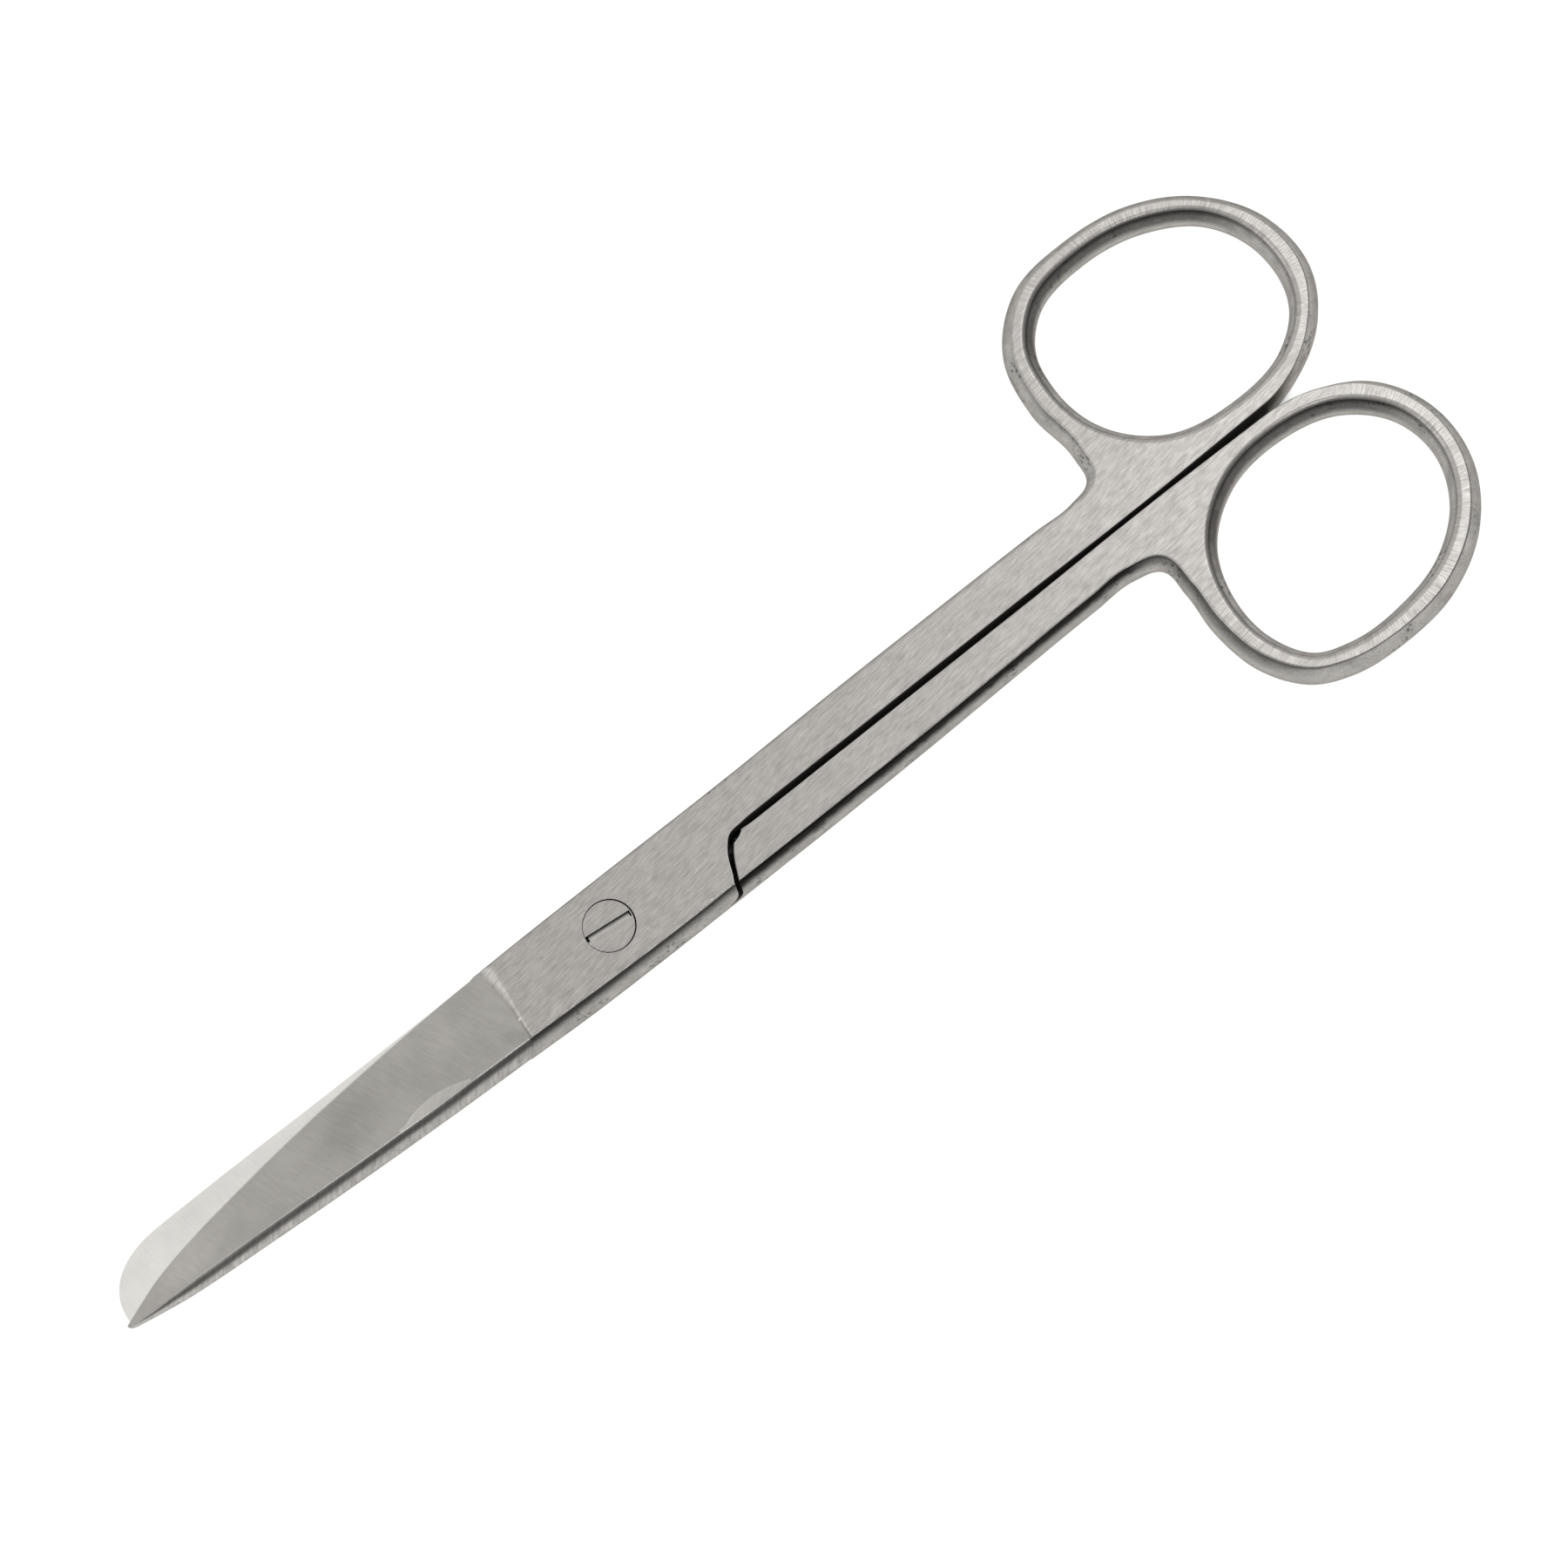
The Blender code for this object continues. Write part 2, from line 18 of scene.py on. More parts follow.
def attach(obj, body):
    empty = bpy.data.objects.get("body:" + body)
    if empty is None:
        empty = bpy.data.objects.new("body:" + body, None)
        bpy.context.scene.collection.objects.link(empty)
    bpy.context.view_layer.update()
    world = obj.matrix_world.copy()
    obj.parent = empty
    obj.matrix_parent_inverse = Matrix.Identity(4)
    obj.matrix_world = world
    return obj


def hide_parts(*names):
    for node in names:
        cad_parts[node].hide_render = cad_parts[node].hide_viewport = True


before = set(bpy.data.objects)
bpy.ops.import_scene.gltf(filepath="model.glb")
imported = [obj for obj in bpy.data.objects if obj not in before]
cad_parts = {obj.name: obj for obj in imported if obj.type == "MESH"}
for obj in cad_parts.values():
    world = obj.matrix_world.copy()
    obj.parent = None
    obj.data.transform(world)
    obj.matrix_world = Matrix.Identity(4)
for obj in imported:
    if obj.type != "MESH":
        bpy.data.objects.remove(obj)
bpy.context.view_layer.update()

MM = 0.001

# Stock and fits
THICK = 4.8
MID = THICK / 2
CENTRE_Y = -0.2
LAP_GAP = 0.06
PIN_GAP = 0.07

# Forged side walls
SIDE = 0.6
SIDE_ROUND = 0.94
RING_SIDE = 0.85
RING_NECK = 1.05
RING_INSIDE = 0.95
RING_CLOSE = 0.3
INNER_SIDE = 0.1
SIDE_ROWS = 41
EVEN_FROM_X = 56.0              # the ring's outer side is evenly rounded from here
EVEN_RUN = 8.0
SKIN_DEPTH = 0.03
SKIN_GRAIN = 500.0
HOLE_SKIN_DEPTH = 0.018
EDGE_ROUND = 0.09
HOLE_EDGE_ROUND = 0.2
LONGEST_PIECE = 0.5             # spacing of points along an outline
TURN_PER_POINT = 2.5
LEAST_CORNER = 0.2              # sine of the turn from which an offset corner is mitred
LEAST_MITRE = 0.5

# Lap joint
STEP_FILLET = 1.2
STEP_ROUND = 1.4
LAP_START_X = -14.8
LAP_REACH_Y = 8.0
STEP_END_X = 14.3
INNER_START_X = 15.5
INNER_PLACES = [(47.0, INNER_SIDE), (56.0, 0.0), (62.0, 0.0)]
HEEL_SPINE_SIDE = 0.9
HEEL_EDGE_SIDE = 2.6
HEEL_FROM_X = -9.6              # the heel's slope is ground too
HEEL_FACING = 0.2
GAP_FROM_X = 13.6               # the gap between the shanks, from the lap to the rings
GAP_TO_X = 74.0
GAP_TO_Y = 1.0
FLOOR = MID + LAP_GAP / 2
FILLET_ROWS = 12
LAP_LONGEST = 30.0
CUT_REACH = 1.0                 # a cutter stands out this far

# Surfaces of a blank and of a blade, as places in their lists of steels
SIDE_SKIN, GROUND_FACE, GAP_SIDE, HOLE_SIDE = range(4)
BLANK_STEELS = ("side", "ground", "gap", "hole")
OUTER_FACE, INNER_FACE, SPINE_SIDE, REGRIND = range(4)
BLADE_STEELS = ("blade", "inner", "blade_side", "reground")
SLOT_FLOOR, SLOT_WALL = range(2)

# Blades
BLADE_START_X = -9.5
BLADE_STATIONS = 170
BLADE_RELIEF = 0.02
HOLLOW = 0.12
HOLLOW_FADE = 9.0
EDGE_LAND = 0.7                 # flat strip beside the hollow
EDGE_LAND_SHARE = 0.25          # most of the width that it takes
SPINE_LAND = 0.5
SPINE_LAND_SHARE = 0.2
FACE_CROWN = 0.1
TIP_POWER = 2.5
TIP_SHARE = 0.08                # least share of the width that the tip keeps
SLIM_WIDTH = 3.0                # below this width the blade gets thinner too
SLIM_HEIGHT = 0.55
LEAN_SHARE = 0.3                # most of the width that a slope takes
EDGE_HEIGHT_SHARE = 0.8
EDGE_THICK = 0.05
SPINE_EDGE = 0.08               # rounding, and most of the slope and of the facet that it takes
SPINE_EDGE_SHARE = 0.2
SPINE_EDGE_OF_FACET = 0.8
SPINE_EDGE_ROUND = [(0.3, 0.1), (-0.5, 0.45)]   # y and drop, as shares of the rounding
REGRIND_SLOPE = 0.13
REGRIND_POWER = 0.8
REGRIND_LEAST = 0.3
REGRIND_SHOWS = 0.05            # reach from which the reground facet shows
FACE_POINTS = 40
FACET_POINTS = 3
SPINE_POINTS = 20
HOLLOW_POINTS = 24

# Screw
HEAD_R = 2.33
HEAD_RIM = 0.4
PIN_R = 1.5
HEAD_CHAMFER = 0.05
CHAMFER_MIDDLE = (0.4, 0.3)     # in from the rim and down from the top, as shares
HEAD_DROP = 0.01
END_CHAMFER = 0.15
RIM_Z = THICK - HEAD_RIM        # the head's cone runs from here down to the pin
CONE_Z = RIM_Z - (HEAD_R - PIN_R)
SLOT_W = 0.57
SLOT_DEPTH = 0.65
SLOT_TURN = math.radians(-6.6)
SLOT_STOP = 0.12
SLOT_RUN_OUT = 4.0              # past the screw's middle, out of the other side
HEAD_SHIFT = -0.045
ROUND_STEPS = 128

# Shading and joining
SHARP_FROM = math.radians(20.0)
FLAT_ENOUGH = 0.9999            # z of a level face's normal
LEVEL_SLACK = 0.001
FACING_UP = 0.5
SAME_X = 1e-9
SAME_POINT = 0.0000005          # metres
WELD = 0.000001

# Floor and sky
FLOOR_REACH = 3.0
FLOOR_DROP = 0.00002
FLOOR_COLOUR = (0.9, 0.9, 0.9, 1.0)
FLOOR_GLOW = 1.18
FLOOR_SHADE = 0.15
FLOOR_SHADE_REACH = 0.005
FLOOR_SHADE_FROM = 0.08         # open share of the sky over a spot: dark below this
FLOOR_SHADE_TO = 0.2
FLOOR_SHADE_SAMPLES = 16
SKY_AXIS = (-0.12, 0.72, 0.68)  # the sky is brightest this way
SKY = [(0.0, 0.2), (0.2, 0.3), (0.4, 0.53), (0.6, 0.73), (0.8, 0.82), (1.0, 0.86)]

# Lamps, in metres: name, place, what it points at, size, power
LAMPS = [
    ("over_rings", (0.178, 0.048, 0.35), (0.08, -0.015, 0.0), 0.16, 0.1),
    ("beside_camera", (0.02, -0.375, 0.706), (0.02, 0.0, 0.0), 0.2, 0.24),
    ("past_tips", (-0.5, 0.15, 0.5), (0.0, 0.0, 0.0), 0.3, 0.18),
]

# Camera
PICTURE_TURN = math.radians(39.387)     # the long axis above the picture's level
TILT = math.radians(12.8)
TILT_DIRECTION = Vector((-0.275, -0.9615, 0.0))
AIM = Vector((19.7, 0.2, THICK)) * MM
PICTURE_WIDTH = 137.25 * MM
LENS = 200.0
SENSOR = 36.0
NEAREST = 0.01
FARTHEST = 20.0

AUTO = None                     # a heading that follows from the neighbouring points

# Finishes: colour, its swing, roughness, its swing, depth of the marks
Finish = namedtuple("Finish", "tone swing rough rough_swing depth")
GROUND = Finish((0.476, 0.456, 0.433), 0.22, 0.32, 0.04, 0.001)
SATIN = Finish((0.43, 0.414, 0.388), 0.1, 0.34, 0.03, 0.001)
REGROUND = Finish((0.58, 0.56, 0.53), 0.12, 0.3, 0.03, 0.001)
POLISHED = Finish((0.87, 0.85, 0.81), 0.06, 0.3, 0.03, 0.001)
LAPPED = Finish((0.45, 0.43, 0.41), 0.04, 0.4, 0.03, 0.001)
FORGED = Finish((0.38, 0.367, 0.348), 0.28, 0.34, 0.05, 0.006)
FORGED_AND_BELTED = FORGED._replace(swing=0.33)
# walls down in the gap and bore: colour darkened as painted shade
GAP_WALL = Finish((0.2, 0.193, 0.184), 0.3, 0.6, 0.08, 0.004)
BORE_WALL = GAP_WALL._replace(tone=(0.07, 0.067, 0.064))
FORGED_RIM = (0.45, 0.44, 0.42, 1.0)    # reflection at a glancing look

# Grinding marks and forging skin, lengths in millimetres and scales per metre
BELT = math.radians(5.0)
SATIN_BELT = math.radians(112.0)
REGRIND_BELT = math.radians(38.0)
HOLLOW_BELT = math.radians(-82.0)
LAP_BELT = math.radians(10.0)
BELT_STREAKS = [(0.5, 1.0, 1.4, 0.1, 3.0), (0.15, 0.8, 5.0, 0.28, 2.0),
                (0.35, 2.5, 1.0, 0.15, 2.0)]    # share, lean, length, width, detail
SATIN_STREAK = (1.6, 0.12)
SPINE_BELT = math.radians(40.0)
SPINE_STREAK = (1.5, 0.2)
GRAIN_ROUGH = 0.55
RING_STREAKS_PER_RADIAN = 130.0
RING_STREAKS_PER_M = 700.0
RING_BLEND = 4.0
SHARP_RING = (70.9, 11.3)               # middle of each ring's hole
BLUNT_RING = (71.6, -12.2)
WEB_TURN = math.radians(42.0)           # from the shank's line to the web's middle line
GROUND_RANGE = (0.38, 0.62)             # values that count as the darkest and lightest
SATIN_RANGE = (0.36, 0.64)
SKIN_RANGE = (0.32, 0.68)
GROUND_PATCH_SHARE = 0.2
SATIN_PATCH_SHARE = 0.6
SPINE_GRINDING = 0.5
PIT_SCALE = 2000.0
PIT_SIZE = (0.16, 0.4)
PIT_GROUP_EDGE = (0.56, 0.66)
PIT_WAVE = 0.7
PIT_DEPTH = 1.5
PIT_SHADE = 0.4
MARK_CORE = 0.3

# Noises: scale, detail, roughness
GROUND_PATCH = (900.0, 5.0, 0.65)
SATIN_PATCH = (220.0, 5.0, 0.62)
RING_NOISE = (1.0, 3.0, 0.6)
SKIN_NOISE = (4500.0, 4.0, 0.65)
SKIN_PATCH = (700.0, 3.0)
WALL_NOISE = (2500.0, 3.0)
PIT_GROUPS = (230.0, 2.0)

# Forged sides: painted shade under the faces, standing in for a dark reflection there, as the
# share of colour taken and distances from mid-thickness where it sets in
SHARP_SIDE_DARK = (0.6, (1.3, 2.2))
SHARP_SPINE_DARK = (0.3, (1.4, 2.1))
BLUNT_SIDE_DARK = (0.94, (1.0, 2.0))
BLUNT_SPINE_DARK = (0.3, (1.0, 2.0))
RING_WALL_DARK = (0.7, (0.3, 1.5))
DARK_WAVE = 0.9
LOW_SIDE_Y = (-2.2, -3.2)               # it sets in over these y
LOW_SIDE_X = (55.0, 62.0)               # and ends over these x
HIGH_WALL_Y = (1.0, 6.0)                # from the middle of the ring's hole
MID_PAINTED_LIGHT = 1.45                           # painted light at mid-thickness, standing in for the mirrored floor
FACE_PAINTED_LIGHT = 1.05
PAINTED_LIGHT_TO = (0.2, 1.3)

# Small marks of use, and on the blade broad ovals of painted light and shade: place, turn in
# degrees, length, width, lighter or darker by
SHARP_MARKS = [
    ((-11.24, -1.5, 4.7), 30.0, 0.5, 0.3, 0.8),
    ((8.43, -3.86, 4.8), -5.0, 0.5, 0.22, 0.5),
    ((9.3, -3.93, 4.8), -5.0, 0.4, 0.2, -0.3),
    ((10.3, -4.0, 4.8), -5.0, 0.7, 0.22, 0.45),
    ((2.52, -2.44, 4.8), -66.0, 0.9, 0.1, 0.35),
    ((-0.88, 2.4, 4.8), -54.0, 0.6, 0.07, -0.4),
    ((79.5, 17.3, 4.7), -55.0, 3.0, 0.5, -0.3),
]
BLUNT_MARKS = [
    ((83.25, -11.18, 4.8), 70.0, 0.5, 0.12, -0.7),
    ((82.09, -15.73, 4.8), 50.0, 0.35, 0.14, -0.6),
    ((78.4, -3.9, 4.7), -20.0, 3.5, 0.5, 0.2),
]
BLADE_MARKS_AND_PAINTED_LIGHT = [
    ((-33.98, 2.9, 4.0), 40.0, 0.45, 0.16, -0.35),
    ((-46.35, 1.72, 3.5), 35.0, 0.4, 0.16, -0.35),
    # broad ovals: painted shade near x -28 and along the heel, painted light towards the tip
    ((-28.0, 0.6, 4.2), 8.0, 13.0, 5.5, -0.1),
    ((-47.0, 0.3, 3.6), 5.0, 13.0, 5.0, 0.14),
    ((-12.5, -2.6, 4.5), -40.0, 4.0, 2.0, -0.12),
]

# Wavy line across a plate's end, from its spine side to its inner side
STEP_PLACES = [(10.55, -4.86), (10.81, -4.13), (11.3, -3.2), (11.58, -2.5), (12.0, -1.65),
               (12.51, -0.95), (13.2, -0.32)]

# Finger rings: x, y, side bulge and sometimes heading, from the shank round to the neck
SHARP_RING_OUTSIDE = [
    (73.8, -0.14, 0.2, 0.0),
    (77.56, 0.61, RING_CLOSE),
    (81.69, 2.86, 0.7),
    (84.89, 7.52, RING_SIDE),
    (84.82, 13.42, RING_SIDE),
    (81.13, 19.17, RING_SIDE),
    (75.74, 22.37, RING_SIDE),
    (69.77, 23.35, RING_SIDE),
    (62.93, 22.4, 0.95),
    (58.79, 18.59, RING_NECK),
    (57.46, 12.8, RING_NECK),
    (57.91, 7.6, 0.95),
    (57.29, 4.91, 0.85),
    (54.99, 4.21, SIDE),
    (51.09, 4.27, SIDE),
]
SHARP_RING_HOLE = [
    (82.25, 11.67), (80.06, 16.68), (75.8, 19.53), (69.72, 20.76), (63.77, 19.61),
    (61.35, 17.09), (60.51, 13.4), (61.27, 8.62), (65.3, 3.94), (71.85, 2.39),
    (77.97, 3.39), (80.86, 5.63),
]
BLUNT_RING_OUTSIDE = [
    (73.0, 0.14, 0.2, 0.0),
    (77.72, 0.92, RING_CLOSE),
    (82.25, 3.32, 0.7),
    (85.11, 8.18, RING_SIDE),
    (84.98, 14.35, RING_SIDE),
    (81.67, 19.57, RING_SIDE),
    (75.99, 22.86, 0.75),
    (70.02, 23.59, 0.7),
    (64.78, 23.0, 0.9),
    (61.51, 21.5, 0.95),
    (58.61, 17.67, RING_NECK),
    (57.53, 12.2, RING_NECK),
    (57.79, 8.0, 0.95),
    (57.47, 4.99, 0.85),
    (55.14, 4.09, 0.74),
    (50.91, 4.05, 0.74),
]
BLUNT_RING_HOLE = [
    (82.61, 11.81), (80.81, 16.36), (77.02, 19.42), (71.17, 20.86), (66.18, 20.6),
    (63.24, 19.43), (61.22, 16.22), (60.79, 11.39), (62.57, 6.55), (66.71, 3.33),
    (72.75, 2.42), (78.87, 4.21), (81.96, 7.79),
]

# Heel line across the other end of a plate: x, y, side bulge
HEEL_PLACES = [(-12.48, 2.9, 2.3), (-12.3, -1.2, 1.4), (-12.2, -3.2, 1.0)]

# Plate and shank: inner side's y, gaps past the wavy end, then x, y, side bulge there and back
SHARP_BODY = {
    "inner": -0.14,
    "gaps": [0.5, 0.46, 0.4, 0.46, 0.58, 0.66, 0.72, 0.74],
    "spine": [(-12.1, -4.48, 1.1), (-6.0, -4.72, 1.1), (2.0, -4.86, 0.92), (8.6, -4.89, 0.88)],
    "edge": [(42.0, 4.34, SIDE), (30.0, 4.38, SIDE), (14.0, 4.27, SIDE), (2.0, 4.37, SIDE),
             (-6.0, 4.4, SIDE), (-9.5, 4.38, SIDE), (-12.6, 4.33, SIDE)],
}
BLUNT_BODY = {
    "inner": 0.14,
    "gaps": [0.36, 0.36, 0.36, 0.34, 0.3, 0.24, 0.18, 0.15],
    "spine": [(-12.1, -4.76, 0.9), (-2.0, -4.8, 0.8), (8.6, -4.78, 0.8)],
    "edge": [(42.0, 4.18, 0.72), (32.0, 4.39, 0.78), (24.0, 4.48, 0.86), (10.0, 4.48, 0.88),
             (0.0, 4.43, 0.92), (-7.0, 4.29, 1.0), (-9.5, 4.18, 1.03),
             (-12.6, 4.03, 1.05)],
}

# Blades: x against y, a height or a slope's reach, heel first
SHARP_BLADE = {
    "tip_x": -54.6,
    "tip_round": 0.8,
    "spine": [(-9.5, -4.6), (-17.0, -4.3), (-21.0, -4.12), (-30.0, -3.62),
              (-40.0, -2.92), (-48.5, -2.22), (-54.6, -1.2)],
    "edge": [(-9.5, 4.4), (-16.0, 4.36), (-21.0, 4.17), (-25.0, 3.93), (-30.0, 3.6),
             (-35.0, 3.15), (-40.0, 2.58), (-45.0, 1.9), (-50.0, 0.9), (-54.6, -0.72)],
    "spine_height": [(-9.5, 2.15), (-30.0, 1.9), (-45.0, 1.45), (-54.6, 0.7)],
    "edge_height": [(-9.5, 1.75), (-20.0, 1.3), (-35.0, 1.1), (-45.0, 0.95), (-54.6, 0.4)],
    "spine_lean": [(-9.5, 1.1), (-25.0, 1.07), (-40.0, 1.0), (-48.0, 0.8), (-54.6, 0.05)],
    "edge_lean": [(-9.5, 0.35), (-45.0, 0.3), (-54.6, 0.05)],
    "regrind": (-25.2, -17.6, 1.05),        # from x, to x, deepest reach from the spine
}
BLUNT_BLADE = {
    "tip_x": -54.2,
    "tip_round": 7.4,
    "spine": [(-9.5, -4.76), (-14.0, -4.78), (-28.0, -4.86), (-40.0, -5.0), (-54.2, -4.95)],
    "edge": [(-9.5, 4.16), (-14.0, 3.93), (-21.0, 3.5), (-30.0, 2.95),
             (-39.6, 2.25), (-48.8, 1.5), (-54.2, 0.7)],
    "spine_height": [(-9.5, 2.15), (-30.0, 1.9), (-45.0, 1.5), (-54.2, 0.9)],
    "edge_height": [(-9.5, 1.75), (-20.0, 1.3), (-35.0, 1.1), (-45.0, 0.95), (-54.2, 0.4)],
    "spine_lean": [(-9.5, 0.9), (-25.0, 1.0), (-45.0, 0.7), (-54.2, 0.3)],
    "edge_lean": [(-9.5, 0.35), (-45.0, 0.3), (-54.2, 0.15)],
    "regrind": None,
}


# Materials

def new_steel(name):
    """A steel's material, its node tree and the place on the piece."""
    material = bpy.data.materials.new(name)
    material.use_nodes = True
    tree = material.node_tree
    return material, tree, tree.nodes.new("ShaderNodeTexCoord").outputs["Object"]


def add(tree, kind, **inputs):
    node = tree.nodes.new(kind)
    for key, value in inputs.items():
        node.inputs[key].default_value = value
    return node


def arith(tree, operation, *values):
    node = tree.nodes.new("ShaderNodeMath")
    node.operation = operation
    for i, value in enumerate(values):
        if isinstance(value, (int, float)):
            node.inputs[i].default_value = value
        else:
            tree.links.new(value, node.inputs[i])
    return node.outputs[0]


def remap(tree, value, low, high, to_low, to_high, soft=False):
    node = tree.nodes.new("ShaderNodeMapRange")
    if soft:
        node.interpolation_type = "SMOOTHSTEP"
    tree.links.new(value, node.inputs["Value"])
    node.inputs["From Min"].default_value = low
    node.inputs["From Max"].default_value = high
    node.inputs["To Min"].default_value = to_low
    node.inputs["To Max"].default_value = to_high
    return node.outputs["Result"]


def noise(tree, vector, scale, detail, rough=0.5):
    node = add(tree, "ShaderNodeTexNoise", Scale=scale, Detail=detail, Roughness=rough)
    tree.links.new(vector, node.inputs["Vector"])
    return node.outputs["Fac"]


def own_place(tree, vector, turn, size=(1.0, 1.0, 1.0), middle=(0.0, 0.0, 0.0)):
    """The place seen from a spot of this size, turned about z."""
    node = tree.nodes.new("ShaderNodeMapping")
    node.vector_type = "TEXTURE"
    tree.links.new(vector, node.inputs["Vector"])
    node.inputs["Location"].default_value = middle
    node.inputs["Rotation"].default_value = (0, 0, turn)
    node.inputs["Scale"].default_value = size
    return node.outputs["Vector"]


def grain(tree, place, turn, length, width, detail=2.0):
    """Streaks of this length and width in millimetres."""
    size = Vector((length, width, length)) * MM
    return noise(tree, own_place(tree, place, turn, size), 1.0, detail, GRAIN_ROUGH)


def blend(tree, *shares):
    """Weighted sum of (weight, value) pairs."""
    total = None
    for weight, value in shares:
        part = arith(tree, "MULTIPLY", value, weight)
        total = part if total is None else arith(tree, "ADD", total, part)
    return total


def marks_and_painted_light(tree, place, marks):
    """1 on plain steel, more or less than 1 inside each soft oval: small marks of use, and on the
    blade broad ovals of painted light and shade.
    """
    shade = 1.0
    for at, turn, length, width, strength in marks:
        size = Vector((length / 2, width / 2, 1.0)) * MM
        oval = own_place(tree, place, math.radians(turn), size, Vector(at) * MM)
        far = tree.nodes.new("ShaderNodeVectorMath")
        far.operation = "LENGTH"
        tree.links.new(oval, far.inputs[0])
        spot = remap(tree, far.outputs["Value"], MARK_CORE, 1.0, 1.0, 0.0, soft=True)
        shade = arith(tree, "ADD", shade, arith(tree, "MULTIPLY", spot, strength))
    return shade


def finish_steel(tree, finish, streaks, shade=None):
    """Wires a 0..1 streak value to the colour, gloss and bump of a steel."""
    shader = tree.nodes["Principled BSDF"]
    colour = tree.nodes.new("ShaderNodeMix")
    colour.data_type = "RGBA"
    tree.links.new(streaks, colour.inputs["Factor"])
    colour.inputs["A"].default_value = [c * (1 - finish.swing) for c in finish.tone] + [1.0]
    colour.inputs["B"].default_value = [c * (1 + finish.swing) for c in finish.tone] + [1.0]
    if shade is None:
        tree.links.new(colour.outputs["Result"], shader.inputs["Base Color"])
    else:
        shaded = tree.nodes.new("ShaderNodeVectorMath")
        shaded.operation = "SCALE"
        tree.links.new(colour.outputs["Result"], shaded.inputs[0])
        tree.links.new(shade, shaded.inputs["Scale"])
        tree.links.new(shaded.outputs[0], shader.inputs["Base Color"])
    gloss = remap(tree, streaks, 0.0, 1.0, finish.rough + finish.rough_swing,
                  finish.rough - finish.rough_swing)
    tree.links.new(gloss, shader.inputs["Roughness"])
    bump = add(tree, "ShaderNodeBump", Strength=1.0, Distance=finish.depth * MM)
    tree.links.new(streaks, bump.inputs["Height"])
    tree.links.new(bump.outputs["Normal"], shader.inputs["Normal"])
    shader.inputs["Metallic"].default_value = 1.0
    return shader


def ring_streaks(tree, place, ring_centre, web_turn):
    """Streaks across a ring's band, and the share of them: 0 on the shank, 1 on the ring."""
    split = tree.nodes.new("ShaderNodeSeparateXYZ")
    tree.links.new(own_place(tree, place, -web_turn), split.inputs[0])
    centre = Vector((*ring_centre, 0.0)) * MM
    centre.rotate(Matrix.Rotation(web_turn, 3, "Z"))
    dx = arith(tree, "SUBTRACT", split.outputs["X"], centre.x)
    dy = arith(tree, "SUBTRACT", split.outputs["Y"], centre.y)
    radius = arith(tree, "SQRT", arith(tree, "ADD", arith(tree, "MULTIPLY", dx, dx),
                                       arith(tree, "MULTIPLY", dy, dy)))
    polar = tree.nodes.new("ShaderNodeCombineXYZ")
    angle = arith(tree, "ARCTAN2", dy, dx)
    tree.links.new(arith(tree, "MULTIPLY", angle, RING_STREAKS_PER_RADIAN), polar.inputs["X"])
    tree.links.new(arith(tree, "MULTIPLY", radius, RING_STREAKS_PER_M), polar.inputs["Y"])
    share = remap(tree, dx, -RING_BLEND * MM, RING_BLEND * MM, 0.0, 1.0, soft=True)
    return noise(tree, polar.outputs[0], *RING_NOISE), share


def ground_steel(name, ring_centre, web_turn, marks):
    """Belt-ground face: streaks along the shank, across the ring's band."""
    material, tree, place = new_steel(name)
    along_shank = blend(tree, *((share, grain(tree, place, BELT * lean, length, width, detail))
                                for share, lean, length, width, detail in BELT_STREAKS))
    across_band, ring_share = ring_streaks(tree, place, ring_centre, web_turn)
    mix = tree.nodes.new("ShaderNodeMix")
    tree.links.new(ring_share, mix.inputs["Factor"])
    tree.links.new(along_shank, mix.inputs["A"])
    tree.links.new(across_band, mix.inputs["B"])
    streaks = blend(tree, (1 - GROUND_PATCH_SHARE, mix.outputs["Result"]),
                    (GROUND_PATCH_SHARE, noise(tree, place, *GROUND_PATCH)))
    streaks = remap(tree, streaks, *GROUND_RANGE, 0.0, 1.0)
    finish_steel(tree, GROUND, streaks, marks_and_painted_light(tree, place, marks))
    return material


def satin_steel(name, finish, turn, marks=None):
    """Smooth satin face with faint marks along one direction."""
    material, tree, place = new_steel(name)
    streaks = blend(tree, (1 - SATIN_PATCH_SHARE, grain(tree, place, turn, *SATIN_STREAK)),
                    (SATIN_PATCH_SHARE, noise(tree, place, *SATIN_PATCH)))
    streaks = remap(tree, streaks, *SATIN_RANGE, 0.0, 1.0)
    finish_steel(tree, finish, streaks, marks_and_painted_light(tree, place, marks) if marks else None)
    return material


def pits(tree, place, skin):
    """1 in the small pits that lie in groups on a forging, 0 elsewhere."""
    wavy = tree.nodes.new("ShaderNodeVectorMath")
    wavy.operation = "MULTIPLY_ADD"
    tree.links.new(skin.node.outputs["Color"], wavy.inputs[0])
    wavy.inputs[1].default_value = (PIT_WAVE * MM,) * 3
    tree.links.new(place, wavy.inputs[2])
    cells = add(tree, "ShaderNodeTexVoronoi", Scale=PIT_SCALE)
    tree.links.new(wavy.outputs[0], cells.inputs["Vector"])
    groups = noise(tree, place, *PIT_GROUPS)
    return arith(tree, "MULTIPLY", remap(tree, cells.outputs["Distance"], *PIT_SIZE, 1.0, 0.0),
                 remap(tree, groups, *PIT_GROUP_EDGE, 0.0, 1.0))


